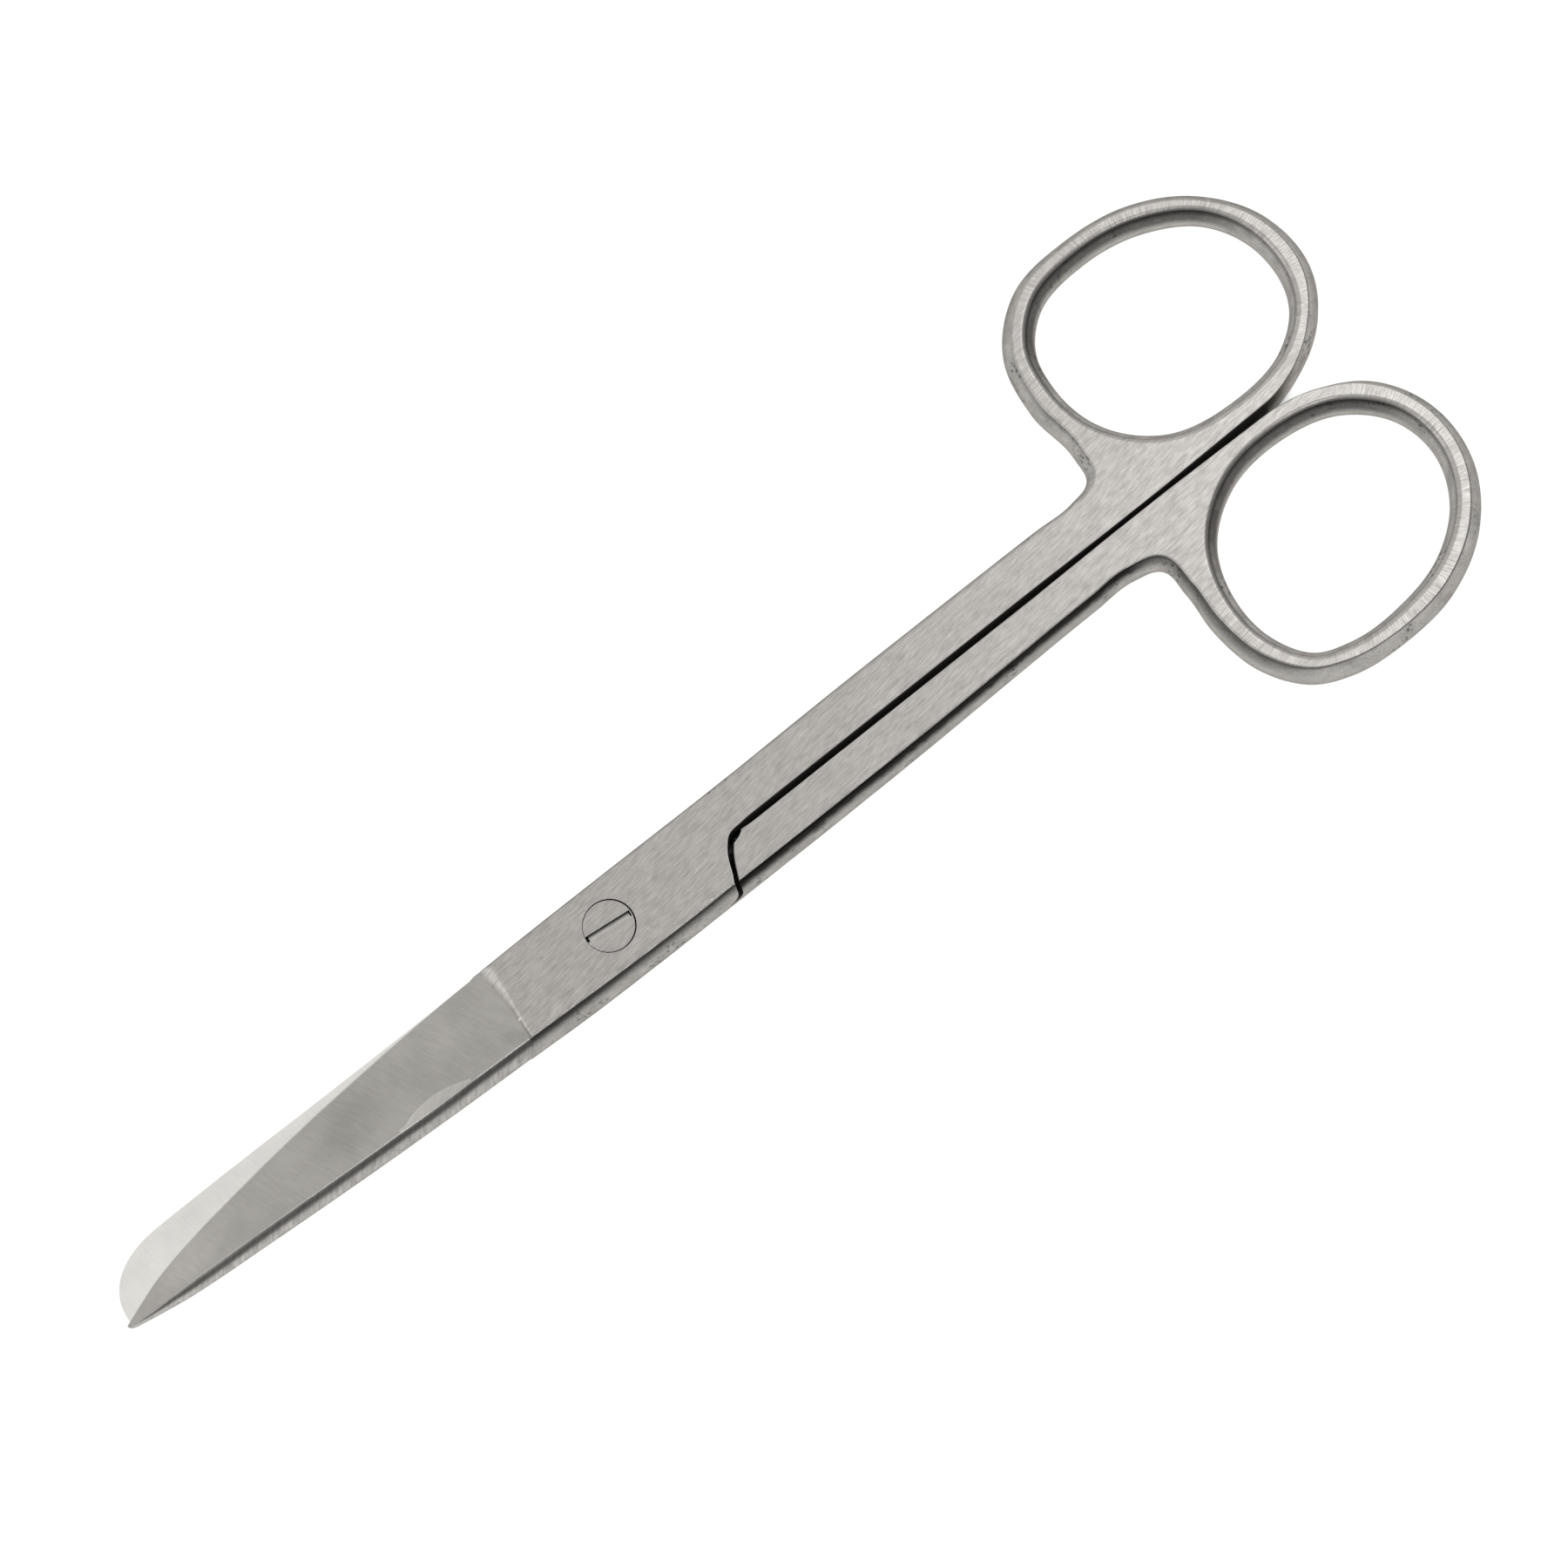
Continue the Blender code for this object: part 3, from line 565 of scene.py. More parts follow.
def forged_steel(name, finish, region, dark, dark_from, grinding=0.0):
    """Forging skin, with painted light at mid-thickness and painted shade under the faces of a
    region.

    Grinding is the share of slanting belt marks, which leave no pits.
    """
    material, tree, place = new_steel(name)
    split = tree.nodes.new("ShaderNodeSeparateXYZ")
    tree.links.new(place, split.inputs[0])
    x, y, z = split.outputs
    height = arith(tree, "ABSOLUTE", arith(tree, "SUBTRACT", z, MID * MM))
    skin = noise(tree, place, *SKIN_NOISE)
    patch = noise(tree, place, *SKIN_PATCH)
    slant = grain(tree, place, SPINE_BELT, *SPINE_STREAK)
    plain = (1 - grinding) / 2
    streaks = blend(tree, (plain, skin), (plain, patch), (grinding, slant))
    streaks = remap(tree, streaks, *SKIN_RANGE, 0.0, 1.0)

    # painted shade under the faces, with a wavy edge
    uneven = arith(tree, "ADD", height, blend(tree, (DARK_WAVE * MM, patch),
                                              (-DARK_WAVE * MM / 2, 1.0)))
    scale = remap(tree, uneven, dark_from[0] * MM, dark_from[1] * MM, 0.0, dark, soft=True)
    scale = arith(tree, "MULTIPLY", scale, region(tree, x, y))
    # painted light at mid-thickness
    painted_light = remap(tree, height, PAINTED_LIGHT_TO[0] * MM, PAINTED_LIGHT_TO[1] * MM, MID_PAINTED_LIGHT, FACE_PAINTED_LIGHT)
    shade = arith(tree, "MULTIPLY", painted_light, arith(tree, "SUBTRACT", 1.0, scale))
    if not grinding:
        pitted = pits(tree, place, skin)
        streaks = arith(tree, "SUBTRACT", streaks, arith(tree, "MULTIPLY", pitted, PIT_DEPTH))
        shade = arith(tree, "MULTIPLY", shade, remap(tree, pitted, 0.0, 1.0, 1.0, PIT_SHADE))
    shader = finish_steel(tree, finish, streaks, shade)
    shader.inputs["Specular Tint"].default_value = FORGED_RIM
    return material


def low_side(tree, x, y):
    """Where painted shade goes: plate and shank on the -y side, fading out at the ring."""
    return arith(tree, "MULTIPLY",
                 remap(tree, y, LOW_SIDE_Y[0] * MM, LOW_SIDE_Y[1] * MM, 0.0, 1.0),
                 remap(tree, x, LOW_SIDE_X[0] * MM, LOW_SIDE_X[1] * MM, 1.0, 0.0))


def high_wall(ring_centre):
    """Where painted shade goes on a ring's inner wall: its +y part."""
    low, high = [(ring_centre[1] + y) * MM for y in HIGH_WALL_Y]

    def region(tree, x, y):
        return remap(tree, y, low, high, 0.0, 1.0)
    return region


# painted shade goes over the whole side
def whole_side(tree, x, y):
    return 1.0


def painted_shade_steel(name, finish):
    """Rough wall down in a gap or bore, its colour darkened: painted shade for the shadow down
    there.
    """
    material, tree, place = new_steel(name)
    finish_steel(tree, finish, noise(tree, place, *WALL_NOISE))
    return material


# Objects

def bake(obj):
    """Replace an object's mesh by what its modifiers make of it."""
    bpy.context.view_layer.update()
    graph = bpy.context.evaluated_depsgraph_get()
    mesh = bpy.data.meshes.new_from_object(obj.evaluated_get(graph))
    obj.modifiers.clear()
    obj.data = mesh


def drop_object(obj):
    bpy.data.objects.remove(obj, do_unlink=True)


def linked(name, data):
    obj = bpy.data.objects.new(name, data)
    bpy.context.scene.collection.objects.link(obj)
    return obj


def finished_mesh(name, bm, steels):
    """Object in the scene made from a bmesh, which is freed."""
    mesh = bpy.data.meshes.new(name)
    bm.to_mesh(mesh)
    bm.free()
    for steel in steels:
        mesh.materials.append(steel)
    return linked(name, mesh)


# Outlines

def knot(x, y, bulge=0.0, heading=AUTO, corner=False, step=0.0, bulge_out=None, whole=False):
    """Point that an outline runs through.

    Bulge is how far the side bows out there, bulge_out the same just after a
    corner. Step is 1 where the wall's foot is rounded under the lap, and a
    whole stretch after the knot isn't divided.
    """
    return {"at": Vector((x, y)), "bulge": bulge, "heading": heading,
            "corner": corner, "step": step, "whole": whole,
            "bulge_out": bulge if bulge_out is None else bulge_out}


def step_line(body):
    """The wavy line across a plate's end: x, y, heading, gap beyond it."""
    places = [(x, y, AUTO) for x, y in STEP_PLACES] + [(STEP_END_X, body["inner"], 0.0)]
    return [(*place, gap) for place, gap in zip(places, body["gaps"])]


def headings(knots):
    """Unit direction at each knot, from its own heading or its neighbours."""
    result = []
    count = len(knots)
    for i, here in enumerate(knots):
        if here["heading"] is not AUTO:
            angle = math.radians(here["heading"])
            result.append(Vector((math.cos(angle), math.sin(angle))))
            continue
        before = knots[i - 1]
        after = knots[(i + 1) % count]
        back = here["at"] - before["at"]
        ahead = after["at"] - here["at"]
        mean = back.normalized() * ahead.length + ahead.normalized() * back.length
        result.append(mean.normalized())
    return result


def trace(knots, longest=LONGEST_PIECE):
    """Smooth closed curve through the knots."""
    dirs = headings(knots)
    count = len(knots)
    points = []
    for i in range(count):
        a = knots[i]
        b = knots[(i + 1) % count]
        chord = b["at"] - a["at"]
        start = chord.normalized() if a["corner"] else dirs[i]
        end = chord.normalized() if b["corner"] else dirs[(i + 1) % count]
        turn = math.degrees(start.angle(chord) + chord.angle(end))
        pieces = max(1, math.ceil(turn / TURN_PER_POINT), math.ceil(chord.length / longest))
        if a["whole"]:
            pieces = 1
        reach = chord.length / 3
        curve = interpolate_bezier(a["at"], a["at"] + start * reach,
                                   b["at"] - end * reach, b["at"], pieces + 1)
        for k, place in enumerate(curve[:-1]):
            share = k / pieces
            bulge = a["bulge_out"] * (1 - share) + b["bulge"] * share
            points.append({
                "at": Vector((place[0], place[1])),
                "bulge": bulge,
                "bulge_in": a["bulge"] if k == 0 else bulge,
                "step": a["step"] * (1 - share) + b["step"] * share,
                "corner": a["corner"] and k == 0,
            })
    return points


def inward(points, i, amount, amount_before):
    """How point i shifts when the outline moves in by the given amounts."""
    here = points[i]["at"]
    before = here - points[i - 1]["at"]
    after = points[(i + 1) % len(points)]["at"] - here
    n1 = Vector((-before.y, before.x)).normalized()
    n2 = Vector((-after.y, after.x)).normalized()
    det = n1.x * n2.y - n1.y * n2.x
    if points[i]["corner"] and abs(det) > LEAST_CORNER:
        return Vector(((amount_before * n2.y - amount * n1.y) / det,
                       (amount * n1.x - amount_before * n2.x) / det))
    mean = (n1 + n2).normalized()
    return mean * (amount / max(LEAST_MITRE, mean.dot(n1)))


def blank_outline(body, ring_outside):
    """Counter-clockwise outline of plate, shank and the ring's outside."""
    inner = body["inner"]
    x, y, bulge = body["spine"][0]
    outline = [knot(x, y, HEEL_SPINE_SIDE, corner=True, bulge_out=bulge)]
    for x, y, bulge in body["spine"][1:]:
        outline.append(knot(x, y, bulge))
    outline[-1]["whole"] = True
    line = step_line(body)
    x, y, _, _ = line[0]
    outline.append(knot(x, y, bulge, corner=True, bulge_out=0.0, step=1.0, whole=True))
    for x, y, heading, _ in line[1:]:
        outline.append(knot(x, y, 0.0, heading, step=1.0))
    outline[-1]["step"] = 0.0
    outline.append(knot(INNER_START_X, inner, INNER_SIDE, 0.0))
    for x, side in INNER_PLACES:
        outline.append(knot(x, inner, side, 0.0))
    for place in ring_outside:
        outline.append(knot(*place))
    for x, y, bulge in body["edge"][:-1]:
        outline.append(knot(x, y, bulge))
    outline[-1]["whole"] = True
    x, y, bulge = body["edge"][-1]
    outline.append(knot(x, y, bulge, corner=True, bulge_out=HEEL_EDGE_SIDE, whole=True))
    for place in HEEL_PLACES:
        outline.append(knot(*place))
    outline[-1]["whole"] = True
    return trace(outline)


def hole_outline(ring_hole):
    return trace([knot(x, y, RING_INSIDE) for x, y in ring_hole])


# Bowed side walls, by geometry nodes

class SideTree:
    """Small helper that lays out a geometry node tree."""

    def __init__(self, name):
        self.tree = bpy.data.node_groups.new(name, "GeometryNodeTree")
        self.tree.interface.new_socket("Geometry", in_out="INPUT",
                                       socket_type="NodeSocketGeometry")
        self.tree.interface.new_socket("Geometry", in_out="OUTPUT",
                                       socket_type="NodeSocketGeometry")
        self.inlet = None

    def size(self, name, kind="NodeSocketFloat"):
        self.tree.interface.new_socket(name, in_out="INPUT", socket_type=kind)

    def start(self):
        self.inlet = self.tree.nodes.new("NodeGroupInput")

    def given(self, name):
        return self.inlet.outputs[name]

    def join(self, source, target):
        if hasattr(source, "is_output"):
            self.tree.links.new(source, target)
        else:
            target.default_value = source

    def node(self, kind, inputs, **settings):
        made = self.tree.nodes.new(kind)
        for key, value in settings.items():
            setattr(made, key, value)
        for key, value in inputs.items():
            self.join(value, made.inputs[key])
        return made

    def calc(self, operation, *values, kind="ShaderNodeMath"):
        made = self.tree.nodes.new(kind)
        made.operation = operation
        for i, value in enumerate(values):
            self.join(value, made.inputs[i])
        return made.outputs[0]

    def whole(self, operation, *values):
        return self.calc(operation, *values, kind="FunctionNodeIntegerMath")

    def scaled(self, vector, amount):
        made = self.tree.nodes.new("ShaderNodeVectorMath")
        made.operation = "SCALE"
        self.join(vector, made.inputs["Vector"])
        self.join(amount, made.inputs["Scale"])
        return made.outputs["Vector"]

    def plus(self, a, b):
        return self.calc("ADD", a, b, kind="ShaderNodeVectorMath")


def bowed_side_tree():
    """Raises an outline into a wall that bows out at mid-thickness.

    The outline's points carry four vectors: where the wall goes at its
    faces (side where it is full, slope where it is evenly rounded), along a
    rounded step (step) and at a rounded edge (edge).
    """
    g = SideTree("bowed_side")
    for name in ("Thickness", "Fullness", "Edge radius", "Step top", "Step radius",
                 "Skin depth", "Skin grain"):
        g.size(name)
    g.size("Rows", "NodeSocketInt")
    g.size("Material", "NodeSocketMaterial")
    g.start()
    outline = g.given("Geometry")
    count = g.node("GeometryNodeAttributeDomainSize", {"Geometry": outline}).outputs["Point Count"]
    rows = g.given("Rows")
    grid = g.node("GeometryNodeMeshGrid", {"Size X": 1.0, "Size Y": 1.0,
                                           "Vertices X": g.whole("ADD", count, 1),
                                           "Vertices Y": rows})
    index = g.node("GeometryNodeInputIndex", {}).outputs[0]
    column = g.whole("MODULO", g.whole("DIVIDE_FLOOR", index, rows), count)
    row = g.whole("MODULO", index, rows)

    def picked(field):
        """The field's value at the outline point below."""
        sample = g.node("GeometryNodeSampleIndex", {"Geometry": outline},
                        data_type="FLOAT_VECTOR", domain="POINT")
        g.join(field, sample.inputs["Value"])
        g.join(column, sample.inputs["Index"])
        return sample.outputs["Value"]

    def carried(name):
        return picked(g.node("GeometryNodeInputNamedAttribute", {"Name": name},
                             data_type="FLOAT_VECTOR").outputs["Attribute"])

    thick = g.given("Thickness")
    share = g.calc("DIVIDE", row, g.calc("SUBTRACT", rows, 1))
    swing = g.calc("COSINE", g.calc("MULTIPLY", share, math.pi))
    z = g.calc("MULTIPLY", g.calc("MULTIPLY", thick, 0.5), g.calc("SUBTRACT", 1.0, swing))
    full = g.given("Fullness")
    level = g.calc("MULTIPLY", g.calc("ABSOLUTE", swing), full)

    def arc_drop(level):
        """How far a unit arc has dropped back at this height."""
        left = g.calc("SUBTRACT", 1.0, g.calc("MULTIPLY", level, level))
        return g.calc("SUBTRACT", 1.0, g.calc("SQRT", left))

    bow = g.calc("DIVIDE", arc_drop(level), arc_drop(full))

    def quarter_round(radius, into):
        """Set-back of a quarter round of this radius, this far into it."""
        depth = g.calc("MINIMUM", g.calc("MAXIMUM", into, 0.0), radius)
        inside = g.calc("SUBTRACT", g.calc("MULTIPLY", radius, radius),
                       g.calc("MULTIPLY", depth, depth))
        return g.calc("SUBTRACT", radius, g.calc("SQRT", g.calc("MAXIMUM", inside, 0.0)))

    edge_r = g.given("Edge radius")
    to_face = g.calc("MINIMUM", z, g.calc("SUBTRACT", thick, z))
    edge = quarter_round(edge_r, g.calc("SUBTRACT", edge_r, to_face))
    step = quarter_round(g.given("Step radius"), g.calc("SUBTRACT", g.given("Step top"), z))

    raised = g.node("ShaderNodeCombineXYZ", {"Z": z}).outputs[0]
    place = g.plus(picked(g.node("GeometryNodeInputPosition", {}).outputs[0]), raised)
    bumps = g.node("ShaderNodeTexNoise", {"Vector": place, "Scale": g.given("Skin grain"),
                                          "Detail": 1.0}).outputs["Fac"]
    calm = g.calc("SUBTRACT", 1.0, g.calc("ABSOLUTE", swing))
    deep = g.calc("MULTIPLY", g.calc("SUBTRACT", bumps, 0.5), g.given("Skin depth"))
    skin = g.calc("MULTIPLY", deep, calm)
    place = g.plus(place, g.scaled(carried("side"), bow))
    place = g.plus(place, g.scaled(carried("slope"), g.calc("MULTIPLY", swing, swing)))
    place = g.plus(place, g.scaled(carried("step"), step))
    place = g.plus(place, g.scaled(carried("edge"), g.calc("ADD", edge, skin)))
    wall = g.node("GeometryNodeSetPosition", {"Geometry": grid.outputs["Mesh"],
                                              "Position": place})
    closed = g.node("GeometryNodeMergeByDistance", {"Geometry": wall.outputs[0],
                                                    "Distance": SAME_POINT})
    real = g.node("GeometryNodeRealizeInstances", {"Geometry": closed.outputs[0]})
    dressed = g.node("GeometryNodeSetMaterial", {"Geometry": real.outputs[0],
                                                 "Material": g.given("Material")})
    outlet = g.tree.nodes.new("NodeGroupOutput")
    g.join(dressed.outputs[0], outlet.inputs[0])
    return g.tree


def set_input(modifier, name, value):
    for item in modifier.node_group.interface.items_tree:
        if item.item_type == "SOCKET" and item.in_out == "INPUT" and item.name == name:
            modifier[item.identifier] = value


def bowed_side(tree, name, points, direction, material, skin, edge_round):
    """One wall from an outline. Direction is 1 outside, -1 round a hole."""
    mesh = bpy.data.meshes.new(name)
    count = len(points)
    mesh.from_pydata([(p["at"].x * MM, p["at"].y * MM, 0.0) for p in points],
                     [(i, (i + 1) % count) for i in range(count)], [])
    vectors = {"side": [], "slope": [], "step": [], "edge": []}
    for i, point in enumerate(points):
        side = inward(points, i, direction * point["bulge"], direction * point["bulge_in"])
        step_before = 0.0 if point["corner"] else point["step"]
        step = inward(points, i, direction * point["step"], direction * step_before)
        edge = inward(points, i, direction, direction)
        even = 0.0
        if direction > 0:
            even = min(1.0, max(0.0, (point["at"].x - EVEN_FROM_X) / EVEN_RUN))
        for key, vector, size in (("side", side, MM * (1 - even)), ("slope", side, MM * even),
                                  ("step", step, 1.0), ("edge", edge, 1.0)):
            vectors[key].extend((vector.x * size, vector.y * size, 0.0))
    for key, values in vectors.items():
        layer = mesh.attributes.new(key, "FLOAT_VECTOR", "POINT")
        layer.data.foreach_set("vector", values)
    obj = linked(name, mesh)
    modifier = obj.modifiers.new("bowed side", "NODES")
    modifier.node_group = tree
    for socket, value in (
            ("Thickness", THICK * MM), ("Fullness", SIDE_ROUND), ("Edge radius", edge_round * MM),
            ("Step top", (FLOOR + STEP_ROUND) * MM), ("Step radius", STEP_ROUND * MM),
            ("Skin depth", skin * MM), ("Skin grain", SKIN_GRAIN), ("Rows", SIDE_ROWS),
            ("Material", material)):
        set_input(modifier, socket, value)
    bake(obj)
    return obj


def forged_blank(name, tree, outer, hole, steels):
    """Walls of plate, shank and ring closed by two flat ground faces."""
    side = steels["side"]
    walls = [
        (bowed_side(tree, name + "_outside", outer, 1.0, side, SKIN_DEPTH, EDGE_ROUND),
         SIDE_SKIN, EDGE_ROUND),
        (bowed_side(tree, name + "_hole", hole, -1.0, side, HOLE_SKIN_DEPTH, HOLE_EDGE_ROUND),
         HOLE_SIDE, HOLE_EDGE_ROUND)]
    bm = bmesh.new()
    for wall, surface, rim in walls:
        before = len(bm.faces)
        bm.from_mesh(wall.data)
        drop_object(wall)
        for face in list(bm.faces)[before:]:
            to_face = MID - abs(face.calc_center_median().z / MM - MID)
            face.material_index = GROUND_FACE if to_face < rim else surface
    for level in (0.0, THICK * MM):
        rim = [edge for edge in bm.edges if edge.is_boundary
               and all(abs(vert.co.z - level) < SAME_POINT for vert in edge.verts)]
        made = bmesh.ops.triangle_fill(bm, use_beauty=True, edges=rim)
        for face in made["geom"]:
            if isinstance(face, bmesh.types.BMFace):
                face.material_index = GROUND_FACE
    bmesh.ops.recalc_face_normals(bm, faces=bm.faces[:])
    for face in bm.faces:
        middle = face.calc_center_median() / MM
        in_gap = middle.y < GAP_TO_Y and GAP_FROM_X < middle.x < GAP_TO_X
        # walls between the shanks take the darkened gap steel: painted shade
        if face.material_index == SIDE_SKIN and in_gap:
            face.material_index = GAP_SIDE
        if middle.x < HEEL_FROM_X and face.normal.x < -HEEL_FACING:
            face.material_index = GROUND_FACE
    return finished_mesh(name, bm, [steels[key] for key in BLANK_STEELS])


# Blades

def along(pairs, x):
    """Smooth value at x through (x, value) pairs that run towards -x."""
    if x >= pairs[0][0]:
        return pairs[0][1]
    slopes = []
    for i in range(len(pairs)):
        low = pairs[max(0, i - 1)]
        high = pairs[min(len(pairs) - 1, i + 1)]
        slopes.append((high[1] - low[1]) / (high[0] - low[0]))
    for i in range(len(pairs) - 1):
        x0, y0 = pairs[i]
        x1, y1 = pairs[i + 1]
        if x >= x1 - SAME_X:
            step = x1 - x0
            t = (x - x0) / step
            return ((2 * t**3 - 3 * t**2 + 1) * y0 + (t**3 - 2 * t**2 + t) * step * slopes[i]
                    + (3 * t**2 - 2 * t**3) * y1 + (t**3 - t**2) * step * slopes[i + 1])
    return pairs[-1][1]


def rounded_tip(blade, x):
    """Share of the blade's width at x that is left by its round tip."""
    run_in = (blade["tip_x"] + blade["tip_round"] - x) / blade["tip_round"]
    if run_in <= 0:
        return 1.0
    fullness = max(0.0, 1 - min(1.0, run_in) ** TIP_POWER) ** (1 / TIP_POWER)
    return max(TIP_SHARE, fullness)


def regrind_reach(blade, x):
    """How far the reground facet reaches in from the spine at x."""
    if not blade["regrind"]:
        return 0.0
    low, high, deepest = blade["regrind"]
    along_it = 2 * (x - low) / (high - low) - 1
    return deepest * max(0.0, 1 - along_it * along_it) ** REGRIND_POWER


def blade_section(blade, x):
    """Points (y, height, surface) round the blade at x."""
    edge = along(blade["edge"], x)
    width = (edge - along(blade["spine"], x)) * rounded_tip(blade, x)
    spine = edge - width
    slim = min(1.0, width / SLIM_WIDTH)
    spine_h = along(blade["spine_height"], x) * (SLIM_HEIGHT + (1 - SLIM_HEIGHT) * slim)
    edge_h = min(along(blade["edge_height"], x), spine_h * EDGE_HEIGHT_SHARE)
    spine_lean = min(along(blade["spine_lean"], x), width * LEAN_SHARE)
    edge_lean = min(along(blade["edge_lean"], x), width * LEAN_SHARE)
    face_from = edge - edge_lean
    face_to = spine + spine_lean
    section = [(edge, 0.0, INNER_FACE), (edge, EDGE_THICK, OUTER_FACE),
               (face_from, edge_h, OUTER_FACE)]

    reach = regrind_reach(blade, x)
    across = face_from - face_to
    border = min(max(reach, REGRIND_LEAST), across * LEAN_SHARE) / across
    plain = FACE_POINTS - FACET_POINTS
    for k in range(1, FACE_POINTS + 1):
        share = (1 - border) * k / plain
        if k > plain:
            share = 1 - border * (FACE_POINTS - k) / FACET_POINTS
        crown = FACE_CROWN * slim * 4 * share * (1 - share)
        y = face_from + (face_to - face_from) * share
        h = edge_h + (spine_h - edge_h) * share + crown
        if reach > 0 and y < face_to + reach:
            h -= (face_to + reach - y) * REGRIND_SLOPE
        shows = k > plain and reach > REGRIND_SHOWS
        section.append((y, h, REGRIND if shows else OUTER_FACE))

    y, top_h, surface = section.pop()
    round_off = min(SPINE_EDGE, spine_lean * SPINE_EDGE_SHARE,
                    across * border / FACET_POINTS * SPINE_EDGE_OF_FACET)
    section.append((y + round_off, top_h, surface))
    for over, drop in SPINE_EDGE_ROUND:
        section.append((y + round_off * over, top_h - round_off * drop, REGRIND))
    section.extend(bowed_spine(spine, spine_lean, top_h))
    section.extend(hollow_face(blade, x, spine, width, slim))
    return section


def bowed_spine(spine, spine_lean, top_h):
    """The forged side, from the outer face down to the inner one."""
    least = math.sqrt(1 - SIDE_ROUND ** 2)
    side = []
    for k in range(1, SPINE_POINTS):
        share = k / SPINE_POINTS
        bow = math.sqrt(1 - (SIDE_ROUND * (1 - share)) ** 2)
        lean = spine_lean * (1 - bow) / (1 - least)
        side.append((spine + lean, top_h * (1 - share), SPINE_SIDE))
    return side + [(spine, 0.0, SPINE_SIDE)]


def hollow_face(blade, x, spine, width, slim):
    """The inner face, ground hollow between two flat strips."""
    fade = min(1.0, (x - blade["tip_x"]) / HOLLOW_FADE)
    fade = fade * fade * (3 - 2 * fade)
    land_in = min(SPINE_LAND, width * SPINE_LAND_SHARE)
    land_out = min(EDGE_LAND, width * EDGE_LAND_SHARE)
    face = []
    for k in range(HOLLOW_POINTS + 1):
        share = k / HOLLOW_POINTS
        dip = HOLLOW * slim * fade * 4 * share * (1 - share)
        y = spine + land_in + (width - land_in - land_out) * share
        face.append((y, dip, INNER_FACE))
    return face


def band(bm, low, high):
    """Faces between two loops of points."""
    count = len(low)
    made = []
    for i in range(count):
        j = (i + 1) % count
        made.append(bm.faces.new((low[i], low[j], high[j], high[i])))
    return made


def ground_blade(name, blade, steels):
    """Blade lofted through its sections, heel end hidden in the plate."""
    bm = bmesh.new()
    loops = []
    surfaces = []
    base = FLOOR + BLADE_RELIEF
    length = blade["tip_x"] - BLADE_START_X
    for k in range(BLADE_STATIONS):
        share = math.sin(math.pi / 2 * k / (BLADE_STATIONS - 1))
        x = BLADE_START_X + length * share
        section = blade_section(blade, x)
        surfaces.append([surface for _, _, surface in section])
        loops.append([bm.verts.new((x * MM, y * MM, (base + h) * MM)) for y, h, _ in section])
    for low, high, surface in zip(loops, loops[1:], surfaces):
        for i, face in enumerate(band(bm, low, high)):
            face.material_index = surface[(i + 1) % len(surface)]
    bm.faces.new(loops[0])
    tip = bm.faces.new(loops[-1])
    tip.material_index = SPINE_SIDE
    bmesh.ops.recalc_face_normals(bm, faces=bm.faces[:])
    return finished_mesh(name, bm, [steels[key] for key in BLADE_STEELS])


# Blanks, blades and screw put together

def add_loop(bm, points, z, share):
    """The outline at height z, moved in by this share of its bulges."""
    loop = []
    for i, point in enumerate(points):
        place = point["at"] + inward(points, i, point["bulge"] * share, point["bulge_in"] * share)
        loop.append(bm.verts.new((place.x * MM, place.y * MM, z * MM)))
    return loop


def lap_cutter(name, other_body, steel):
    """Room for the other half's plate, under this half's own plate."""
    line = step_line(other_body)
    start_y = 2 * CENTRE_Y - other_body["inner"]
    lap_end = line[-1][0] + line[-1][3] + STEP_FILLET
    outline = [
        knot(LAP_START_X, -LAP_REACH_Y, corner=True),
        knot(lap_end, -LAP_REACH_Y, corner=True),
        knot(lap_end, start_y, corner=True),
    ]
    for x, y, heading, gap in reversed(line):
        outline.append(knot(x + gap, 2 * CENTRE_Y - y, STEP_FILLET,
                            180.0 if heading == 0.0 else AUTO))
    outline[3]["corner"] = True
    outline.append(knot(line[0][0] + line[0][3], LAP_REACH_Y, STEP_FILLET, corner=True,
                        bulge_out=0.0))
    outline.append(knot(LAP_START_X, LAP_REACH_Y, corner=True))
    points = trace(outline, longest=LAP_LONGEST)
    bm = bmesh.new()
    loops = []
    flare = -EDGE_ROUND / STEP_FILLET
    for z, share in [(-CUT_REACH, flare), (0.0, flare), (EDGE_ROUND, 0.0),
                     (FLOOR - STEP_FILLET, 0.0)]:
        loops.append(add_loop(bm, points, z, share))
    for k in range(1, FILLET_ROWS + 1):
        angle = math.pi / 2 * k / FILLET_ROWS
        z = FLOOR - STEP_FILLET * (1 - math.sin(angle))
        loops.append(add_loop(bm, points, z, 1 - math.cos(angle)))
    for low, high in zip(loops, loops[1:]):
        band(bm, low, high)
    for loop in (loops[0], loops[-1]):
        edges = [bm.edges.get((loop[i], loop[(i + 1) % len(loop)])) for i in range(len(loop))]
        bmesh.ops.triangle_fill(bm, use_beauty=True, edges=edges)
    bmesh.ops.recalc_face_normals(bm, faces=bm.faces[:])
    return finished_mesh(name, bm, [steel])


